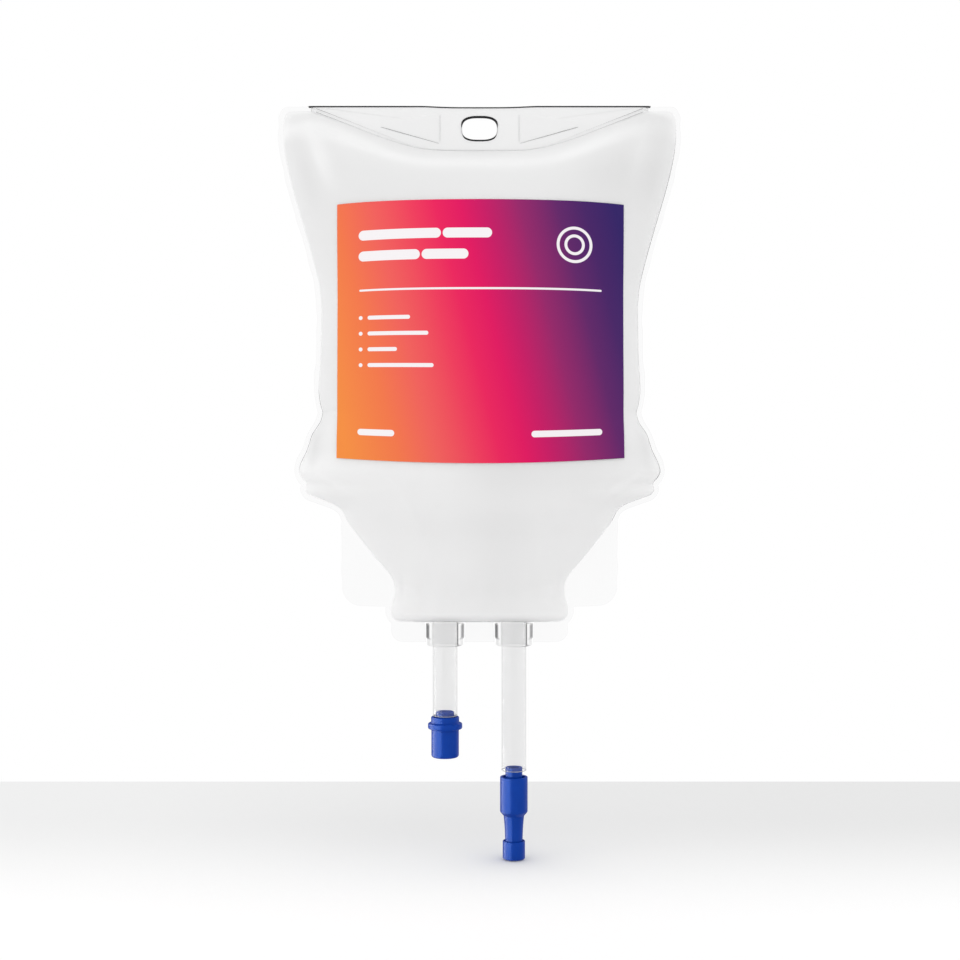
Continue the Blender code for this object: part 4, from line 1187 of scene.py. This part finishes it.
def linear(red, green, blue):
    """A colour written as the usual 0 to 255 values, as linear light with full alpha."""
    encoded = np.array([red, green, blue]) / 255
    light = np.where(encoded <= 0.04045, encoded / 12.92, ((encoded + 0.055) / 1.055) ** 2.4)
    return (*(float(value) for value in light), 1.0)


def grey(level):
    """A neutral grey written as one 0 to 255 value."""
    return linear(level, level, level)


def feed(tree, node, values):
    """Link sockets to a node's inputs, or set constants on them. The keys are the inputs'
    names or numbers."""
    for key, value in values.items():
        if isinstance(value, bpy.types.NodeSocket):
            tree.links.new(value, node.inputs[key])
        else:
            node.inputs[key].default_value = value


def add_node(tree, kind, values=None, **settings):
    """A shader node with its settings, and its inputs fed."""
    node = tree.nodes.new("ShaderNode" + kind)
    for key, setting in settings.items():
        setattr(node, key, setting)
    feed(tree, node, values or {})
    return node


def math_node(tree, operation, *values, clamp=False):
    """A Math node fed by sockets or numbers. Gives its output socket."""
    return add_node(tree, "Math", dict(enumerate(values)), operation=operation, use_clamp=clamp).outputs[0]


def mix_colours(tree, share, first, second):
    """A Mix node between two colours. Gives its output socket."""
    return add_node(tree, "Mix", {0: share, 6: first, 7: second}, data_type="RGBA").outputs[2]


def attribute_value(tree, name):
    """A value kept with a piece's points, as a socket."""
    return add_node(tree, "Attribute", attribute_name=name).outputs["Fac"]


def turned_away(tree, blend=0.5):
    """How far the surface turns away from the viewer, from 0 to 1."""
    return add_node(tree, "LayerWeight", {"Blend": blend}).outputs["Facing"]


def new_group(name, inputs, outputs):
    """An empty shader node group with its sockets, given as (name, kind). Gives it with
    the sockets of its input node and with its output node."""
    group = bpy.data.node_groups.new(name, "ShaderNodeTree")
    for in_out, sockets in (("INPUT", inputs), ("OUTPUT", outputs)):
        for socket_name, kind in sockets:
            group.interface.new_socket(socket_name, in_out=in_out, socket_type=f"NodeSocket{kind}")
    return group, group.nodes.new("NodeGroupInput").outputs, group.nodes.new("NodeGroupOutput")


def grain_group():
    """Fine unevenness of moulded or drawn plastic: a roughness that wanders, and a height."""
    inputs = [("Vector", "Vector"), ("Scale", "Float"), ("Roughness", "Float"), ("Spread", "Float")]
    outputs = [("Roughness", "Float"), ("Height", "Float")]
    group, given, end = new_group("plastic_grain", inputs, outputs)
    broad_scale = math_node(group, "MULTIPLY", given["Scale"], 0.06)
    fine = add_node(group, "TexNoise", {"Vector": given["Vector"], "Scale": given["Scale"], "Detail": 3.0})
    broad = add_node(group, "TexNoise", {"Vector": given["Vector"], "Scale": broad_scale, "Detail": 2.0})
    wander = math_node(group, "SUBTRACT", broad.outputs["Fac"], 0.5)
    rough = math_node(group, "MULTIPLY_ADD", wander, given["Spread"], given["Roughness"])
    feed(group, end, {"Roughness": rough, "Height": fine.outputs["Fac"]})
    return group


def mottle_group():
    """A colour that drifts softly between two tones over the surface."""
    inputs = [("Vector", "Vector"), ("Scale", "Float"), ("Light", "Color"), ("Dark", "Color")]
    group, given, end = new_group("soft_mottle", inputs, [("Color", "Color")])
    noise = add_node(group, "TexNoise", {"Vector": given["Vector"], "Scale": given["Scale"], "Detail": 2.0})
    drift = math_node(group, "MULTIPLY_ADD", noise.outputs["Fac"], 1.6, -0.3, clamp=True)
    feed(group, end, {"Color": mix_colours(group, drift, given["Light"], given["Dark"])})
    return group


def mark_group():
    """A printed mark in print millimetres: 1 on it and 0 off it.

    The distance from a point to the mark's level middle line is the length of what its
    offset has beyond the line's half length. The mark is where that distance is within
    half a width of the radius. Radius 0 gives a bar with round ends, and no length gives
    a ring.
    """
    sizes = ("Across", "Down", "Middle", "Drop", "Half Length", "Radius", "Half Width")
    group, given, end = new_group("print_mark", [(size, "Float") for size in sizes], [("Mark", "Float")])
    offset = math_node(group, "ABSOLUTE", math_node(group, "SUBTRACT", given["Across"], given["Middle"]))
    beyond = math_node(group, "MAXIMUM", math_node(group, "SUBTRACT", offset, given["Half Length"]), 0.0)
    below = math_node(group, "SUBTRACT", given["Down"], given["Drop"])
    below_squared = math_node(group, "MULTIPLY", below, below)
    distance = math_node(group, "SQRT", math_node(group, "MULTIPLY_ADD", beyond, beyond, below_squared))
    from_ring = math_node(group, "ABSOLUTE", math_node(group, "SUBTRACT", distance, given["Radius"]))
    inside = math_node(group, "SUBTRACT", given["Half Width"], from_ring)
    feed(group, end, {"Mark": math_node(group, "MULTIPLY_ADD", inside, 8.0, 0.5, clamp=True)})
    return group


GRAIN = grain_group()
MOTTLE = mottle_group()
PRINT_MARK = mark_group()


def new_material(name, viewport_colour):
    """A node material. Gives it with its tree, its shader and its Object coordinates."""
    material = bpy.data.materials.new(name)
    material.use_nodes = True
    material.diffuse_color = viewport_colour
    tree = material.node_tree
    return material, tree, tree.nodes["Principled BSDF"], add_node(tree, "TexCoord").outputs["Object"]


def add_grain(tree, shader, place, scale, roughness, wander, bump):
    """Plastic grain on a shader's roughness, which wanders by so much, and on its normal."""
    sizes = {"Vector": place, "Scale": scale, "Roughness": roughness, "Spread": wander}
    grain = add_node(tree, "Group", sizes, node_tree=GRAIN).outputs
    raised = add_node(tree, "Bump", {"Strength": bump, "Distance": 0.0001, "Height": grain["Height"]})
    feed(tree, shader, {"Roughness": grain["Roughness"], "Normal": raised.outputs["Normal"]})


def add_mottle(tree, place, scale, light, dark):
    """A soft drift between two tones. Gives the colour socket."""
    sizes = {"Vector": place, "Scale": scale, "Light": light, "Dark": dark}
    return add_node(tree, "Group", sizes, node_tree=MOTTLE).outputs["Color"]


def milky_material():
    """Milky film over fluid: an even pale grey, lifted towards white by painted highlight and
    lowered towards grey by painted shade, as the points' tone says."""
    material, tree, shader, place = new_material("milky_film", grey(237))
    even = add_mottle(tree, place, 14, grey(239), grey(235))
    tone = attribute_value(tree, "tone")
    # Painted highlight lifts the grey towards 254, and painted shade lowers it towards 225
    painted_light_share = math_node(tree, "MULTIPLY", tone, 1.0, clamp=True)
    painted_shade_share = math_node(tree, "MULTIPLY", tone, -1.0, clamp=True)
    highlighted_grey = mix_colours(tree, painted_light_share, even, grey(254))
    add_grain(tree, shader, place, scale=700, roughness=0.42, wander=0.10, bump=0.05)
    feed(tree, shader, {
        "Base Color": mix_colours(tree, painted_shade_share, highlighted_grey, grey(225)),
        "Specular IOR Level": 0.015,
        "Subsurface Weight": 1.0,
        "Subsurface Radius": (1.0, 1.0, 1.0),
        "Subsurface Scale": 0.0025,
    })
    return material


def film_material(name, light, dark, alpha, edge_alpha):
    """Clear or frosted film: see-through when faced, and denser where it turns away."""
    material, tree, shader, place = new_material(name, (*light[:3], alpha))
    add_grain(tree, shader, place, scale=900, roughness=0.30, wander=0.10, bump=0.04)
    denser = math_node(tree, "MULTIPLY_ADD", turned_away(tree, 0.35), edge_alpha - alpha, alpha, clamp=True)
    film = add_mottle(tree, place, 35, light, dark)
    feed(tree, shader, {"Base Color": film, "Alpha": denser, "Specular IOR Level": 0.30})
    return material


def tube_material():
    """Clear tube wall: an even pale haze with a soft gloss, denser where its outer skin turns
    away and the wall is seen edge on."""
    material, tree, shader, place = new_material("clear_tube", (*linear(222, 223, 225)[:3], 0.13))
    haze = add_mottle(tree, place, 110, linear(166, 166, 167), linear(152, 152, 154))
    add_grain(tree, shader, place, scale=500, roughness=0.16, wander=0.06, bump=0.02)
    past = math_node(tree, "SUBTRACT", turned_away(tree), 0.24)
    rim = math_node(tree, "MULTIPLY", past, 4.0, clamp=True)
    shown = math_node(tree, "MULTIPLY", rim, attribute_value(tree, "outside"))
    feed(tree, shader, {"Base Color": haze, "Alpha": math_node(tree, "MULTIPLY_ADD", shown, 0.10, 0.084)})
    return material


def collar_material():
    """Clear collar: nearly unseen when faced, with a painted dark line where its wall turns edge
    on, a stand-in for the dark of refraction and for shade.
    """
    material, tree, shader, place = new_material("clear_collar", (*linear(206, 208, 211)[:3], 0.10))
    haze = add_mottle(tree, place, 150, linear(176, 176, 178), linear(164, 164, 166))
    rim_start = math_node(tree, "MULTIPLY_ADD", attribute_value(tree, "outside"), -0.11, 0.52)
    past = math_node(tree, "SUBTRACT", turned_away(tree), rim_start)
    rim = math_node(tree, "MULTIPLY", past, 8.0, clamp=True)
    shown = math_node(tree, "MULTIPLY", rim, attribute_value(tree, "edge"))
    add_grain(tree, shader, place, scale=500, roughness=0.14, wander=0.06, bump=0.02)
    feed(tree, shader, {
        "Base Color": mix_colours(tree, shown, haze, linear(46, 48, 52)),
        "Alpha": math_node(tree, "MULTIPLY_ADD", shown, 0.80, 0.053, clamp=True),
    })
    return material


def line_material(name, tone, alpha, strength=None):
    """A thin line along a weld or cut edge: its own grey, or painted shade or a painted highlight
    where it stands in for light on the edge. strength names a value that thins it.
    """
    material, tree, shader, place = new_material(name, (*linear(*tone)[:3], alpha))
    light = linear(*(min(255, value + 12) for value in tone))
    add_grain(tree, shader, place, scale=800, roughness=0.35, wander=0.10, bump=0.02)
    shown = alpha
    if strength:
        shown = math_node(tree, "MULTIPLY", attribute_value(tree, strength), alpha, clamp=True)
    ink = add_mottle(tree, place, 90, light, linear(*tone))
    feed(tree, shader, {"Base Color": ink, "Alpha": shown, "Specular IOR Level": 0.2})
    return material


def blue_material():
    """Moulded blue plastic, satin, with a gloss that keeps its colour."""
    material, tree, shader, place = new_material("blue_plastic", linear(22, 62, 160))
    add_grain(tree, shader, place, scale=1400, roughness=0.30, wander=0.06, bump=0.04)
    feed(tree, shader, {
        "Base Color": add_mottle(tree, place, 160, linear(6, 60, 162), linear(4, 54, 150)),
        "Specular IOR Level": math_node(tree, "MULTIPLY_ADD", turned_away(tree), -0.36, 0.30, clamp=True),
        "Specular Tint": (0.36, 0.56, 0.86, 1.0),
    })
    return material


def rubber_material():
    """Tan septum rubber, dull, with a fine even grain."""
    material, tree, shader, place = new_material("septum_rubber", linear(196, 184, 162))
    add_grain(tree, shader, place, scale=1800, roughness=0.70, wander=0.10, bump=0.15)
    tan = add_mottle(tree, place, 260, linear(204, 192, 170), linear(188, 176, 154))
    feed(tree, shader, {"Base Color": tan, "Specular IOR Level": 0.30})
    return material


# Marks printed on the label, as (middle, drop, half length, radius, half width) in
# millimetres: the middle from the label's centre line and the drop from its top edge.
# First come a heading of thick bars and a rule, then four rows of a dot and a thin bar,
# two bars at the foot and a badge of two rings
PRINT_MARKS = (
    (-31.0, 13.0, 14.0, 0, 1.9), (-5.0, 13.0, 7.5, 0, 1.9),
    (-35.0, 21.0, 10.0, 0, 1.9), (-13.5, 21.0, 7.0, 0, 1.9),
    (0.0, 34.0, 46.2, 0, 0.38),
    (-46.0, 44.5, 0, 0, 0.75), (-35.0, 44.5, 7.5, 0, 0.75),
    (-46.0, 50.5, 0, 0, 0.75), (-31.5, 50.5, 11.0, 0, 0.75),
    (-46.0, 56.5, 0, 0, 0.75), (-37.5, 56.5, 5.0, 0, 0.75),
    (-46.0, 62.5, 0, 0, 0.75), (-30.5, 62.5, 12.0, 0, 0.75),
    (-40.0, 88.0, 6.0, 0, 1.2), (33.0, 88.0, 12.5, 0, 1.2),
    (36.0, 17.0, 0, 6.4, 0.55), (36.0, 17.0, 0, 3.4, 0.55),
)
# The print's blend: (share of the way along it, colour)
PRINT_STOPS = (
    (0.040, (249, 147, 72)), (0.180, (248, 125, 80)), (0.290, (246, 101, 96)), (0.400, (244, 66, 97)),
    (0.465, (240, 43, 98)), (0.535, (230, 31, 101)), (0.600, (204, 34, 105)), (0.700, (153, 45, 110)),
    (0.805, (102, 45, 109)), (0.880, (77, 43, 107)), (0.970, (57, 42, 107)),
)
PRINT_SLANT = 0.27


def print_mark(tree, across, down, sizes):
    """One printed mark, as a mask."""
    places = {"Across": across, "Down": down}
    places.update(zip(("Middle", "Drop", "Half Length", "Radius", "Half Width"), sizes))
    return add_node(tree, "Group", places, node_tree=PRINT_MARK).outputs["Mark"]


def label_material():
    """Satin label: a slanting blend from orange to indigo, with plain white marks."""
    material, tree, shader, place = new_material("label_print", linear(221, 29, 102))
    print_place = add_node(tree, "UVMap", uv_map="print_place").outputs["UV"]
    split = add_node(tree, "SeparateXYZ", {0: print_place}).outputs
    width = 2000 * LABEL_HALF_WIDTH
    across = math_node(tree, "MULTIPLY_ADD", split["X"], width, -width / 2)
    down = math_node(tree, "MULTIPLY_ADD", split["Y"], -width, width)
    slanted = math_node(tree, "MULTIPLY_ADD", down, -PRINT_SLANT, across)
    reach = width + PRINT_SLANT * 1000 * LABEL_HEIGHT
    along = math_node(tree, "MULTIPLY_ADD", slanted, 1 / reach, 1 - width / 2 / reach, clamp=True)
    ramp = add_node(tree, "ValToRGB", {0: along})
    stops = ramp.color_ramp.elements
    for _ in PRINT_STOPS[2:]:
        stops.new(0.5)
    for stop, (position, tone) in zip(stops, PRINT_STOPS):
        stop.position = position
        stop.color = linear(*tone)
    mask = 0.0
    for sizes in PRINT_MARKS:
        mask = math_node(tree, "MAXIMUM", mask, print_mark(tree, across, down, sizes))
    add_grain(tree, shader, place, scale=900, roughness=0.45, wander=0.08, bump=0.03)
    ink = mix_colours(tree, mask, ramp.outputs["Color"], linear(252, 248, 250))
    feed(tree, shader, {"Base Color": ink, "Specular IOR Level": 0.01})
    return material


# Studio: the photograph's scale, in metres to a pixel on the middle plane
PIXEL = 0.0004
PICTURE_SIZE = 960
CAMERA_DISTANCE = 0.62
CAMERA_PLACE = (0.0002, -CAMERA_DISTANCE, -0.1448)
SENSOR_WIDTH = 36.0
FLOOR_BACK_EDGE = 0.160
FLOOR_HALF_WIDTH = 1.5
FLOOR_FRONT_EDGE = -1.5
AMBIENT = 0.98


def round_shade(tree, split, middle, radius, amount):
    """A soft round painted shadow on the floor, half as strong at this radius from its middle."""
    beside = math_node(tree, "SUBTRACT", split["X"], middle[0])
    behind = math_node(tree, "SUBTRACT", split["Y"], middle[1])
    behind_squared = math_node(tree, "MULTIPLY", behind, behind)
    squared = math_node(tree, "MULTIPLY_ADD", beside, beside, behind_squared)
    return math_node(tree, "DIVIDE", amount, math_node(tree, "MULTIPLY_ADD", squared, 1 / radius**2, 1.0))


def floor_material():
    """Pale floor: grey behind the object and fading to white in front.

    The camera sees a little light of the floor's own, so that its front is white while
    it still takes the object's shadow. Behind, it is painted darker towards the right as
    painted shade, and it has painted shadows: a small dark one round the foot that stands
    over it and a broad soft one behind and left of the foot. From below it is see-through.
    """
    material, tree, shader, place = new_material("pale_floor", grey(240))
    split = add_node(tree, "SeparateXYZ", {0: place}).outputs
    forward = {"Value": split["Y"], "From Min": 0.080, "From Max": -0.100}
    fade = add_node(tree, "MapRange", forward, interpolation_type="SMOOTHSTEP").outputs["Result"]
    rightward = {"Value": split["X"], "From Min": -0.15, "From Max": 0.15}
    to_right = add_node(tree, "MapRange", rightward).outputs["Result"]
    # Painted shade: the grey behind darkens towards the right, away from the light
    back = mix_colours(tree, to_right, grey(237), grey(230))
    even = mix_colours(tree, fade, back, grey(240))
    low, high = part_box("spike_cover")
    middle = ((low.x + high.x) / 2, (low.y + high.y) / 2)
    beside = (middle[0] - 0.042, middle[1] + 0.045)
    # Painted shadows: a small dark one round the cover's foot and a broad soft one of the bag
    close = round_shade(tree, split, middle, radius=0.0065, amount=0.22)
    broad = round_shade(tree, split, beside, radius=0.065, amount=0.05)
    shade = math_node(tree, "ADD", broad, close, clamp=True)
    add_grain(tree, shader, place, scale=300, roughness=0.85, wander=0.08, bump=0.02)
    to_camera = add_node(tree, "LightPath").outputs["Is Camera Ray"]
    glow = math_node(tree, "MULTIPLY_ADD", fade, 0.13, 0.040)
    feed(tree, shader, {
        "Base Color": mix_colours(tree, shade, even, linear(40, 40, 42)),
        "Specular IOR Level": 0.0,
        "Emission Strength": math_node(tree, "MULTIPLY", glow, to_camera),
        "Emission Color": (1, 1, 1, 1),
    })
    below = add_node(tree, "NewGeometry").outputs["Backfacing"]
    clear = add_node(tree, "BsdfTransparent").outputs[0]
    either = add_node(tree, "MixShader", {0: below, 1: shader.outputs[0], 2: clear})
    feed(tree, tree.nodes["Material Output"], {"Surface": either.outputs[0]})
    return material


def build_floor():
    """The floor, just under the cover's foot. It goes down with the cover as it is pulled."""
    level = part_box("spike_cover")[0].z - 0.0003
    x = np.array([[-FLOOR_HALF_WIDTH, FLOOR_HALF_WIDTH]] * 2)
    y = np.array([[FLOOR_FRONT_EDGE] * 2, [FLOOR_BACK_EDGE] * 2])
    points, quads = grid_shell(x, y, np.full((2, 2), level))
    mesh = bpy.data.meshes.new("studio_floor")
    mesh.from_pydata(points.tolist(), [], quads.tolist())
    mesh.materials.append(floor_material())
    floor = new_object("studio_floor", mesh)
    floor.visible_glossy = False
    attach(floor, "cover")


def build_world():
    """White to the camera and in reflections, and a plain even light on everything else."""
    world = bpy.data.worlds.new("studio_white")
    bpy.context.scene.world = world
    world.use_nodes = True
    tree = world.node_tree
    path = add_node(tree, "LightPath").outputs
    seen = math_node(tree, "MAXIMUM", path["Is Camera Ray"], path["Is Glossy Ray"])
    seen = math_node(tree, "MAXIMUM", seen, path["Is Transmission Ray"])
    strength = math_node(tree, "MULTIPLY_ADD", seen, 1 - AMBIENT, AMBIENT)
    feed(tree, tree.nodes["Background"], {"Color": (1, 1, 1, 1), "Strength": strength})


def add_lamp(name, place, target, size, power, glossy_pieces=()):
    """A soft rectangular lamp that faces the target. With glossy pieces it is a white card
    that only their gloss shows."""
    lamp = bpy.data.lights.new(name, "AREA")
    lamp.shape = "RECTANGLE"
    lamp.size, lamp.size_y = size
    lamp.energy = power
    holder = new_object(name, lamp)
    holder.location = place
    holder.rotation_euler = (Vector(target) - Vector(place)).to_track_quat("-Z", "Y").to_euler()
    holder.visible_camera = False
    if glossy_pieces:
        holder.visible_diffuse = False
        shown_on = bpy.data.collections.new(name + "_pieces")
        for piece in glossy_pieces:
            shown_on.objects.link(piece)
        holder.light_linking.receiver_collection = shown_on


def build_camera():
    """The camera at the photograph's place, level, looking along +Y."""
    camera = bpy.data.cameras.new("photo_camera")
    camera.sensor_width = SENSOR_WIDTH
    camera.lens = SENSOR_WIDTH * CAMERA_DISTANCE / (PIXEL * PICTURE_SIZE)
    camera.clip_start = 0.01
    camera.clip_end = 20
    holder = new_object("photo_camera", camera)
    holder.location = CAMERA_PLACE
    holder.rotation_euler = (math.pi / 2, 0, 0)
    bpy.context.scene.camera = holder


milky = milky_material()
frosted = film_material("frosted_tab", grey(253), grey(251), alpha=0.92, edge_alpha=0.97)
clear_film = film_material("clear_film", grey(232), linear(222, 222, 223), alpha=0.068, edge_alpha=0.15)
clear_wall = tube_material()
clear_ring = collar_material()
dark_edge = line_material("cut_edge_painted_dark", (22, 22, 24), alpha=1.0)
grey_edge = line_material("tab_edge_painted_dark", (34, 34, 36), alpha=0.95)
weld_line = line_material("weld_line", (150, 150, 152), alpha=0.62, strength="strength")
panel_edge_shade = line_material("panel_edge_shade", (158, 158, 160), alpha=0.42)
seam_line_and_shade = line_material("edge_line_grey", (96, 96, 98), alpha=0.55, strength="strength")
pale_weld = film_material("pale_weld", grey(253), grey(250), alpha=0.85, edge_alpha=0.9)
tube_end_highlight = line_material("tube_end_painted_highlight", (196, 198, 202), alpha=0.6)
blue = blue_material()

ports = [node_box("injection_tube")[0], node_box("spike_tube")[0]]
build_pillow(milky)
build_margin(clear_film, ports)
build_tab(frosted)
build_panels(frosted)
build_slot_rim(dark_edge)
build_tab_edge(grey_edge)
build_weld(pale_weld)
build_weld_lines(weld_line)
build_panel_edges(panel_edge_shade)
build_edge_line(seam_line_and_shade)
build_label(label_material())
build_collar("injection_collar", "left_collar", clear_ring)
build_collar("spike_collar", "right_collar", clear_ring)
left_tube = build_tube("injection_tube", "left_port_tube", clear_wall)
right_tube = build_tube("spike_tube", "right_port_tube", clear_wall)
build_tube_end("injection_tube", "left_tube_end", tube_end_highlight)
build_tube_end("spike_tube", "right_tube_end", tube_end_highlight)
closure = build_injection_closure(blue)
build_septum(rubber_material())
stub = build_stub(blue)
cover = build_cover(blue)
build_floor()
build_world()
add_lamp("left_softbox", place=(-1.05, -0.50, -0.02), target=(0, 0, -0.15), size=(0.55, 0.9), power=0.65)
add_lamp(
    "left_card", place=(-1.0, -0.52, -0.40), target=(0, -0.52, -0.40), size=(2.44, 2.2), power=154.0,
    glossy_pieces=[left_tube, right_tube, closure, stub, cover],
)
build_camera()
bpy.context.scene.view_settings.view_transform = "Standard"
bpy.context.scene.cycles.transparent_max_bounces = 32
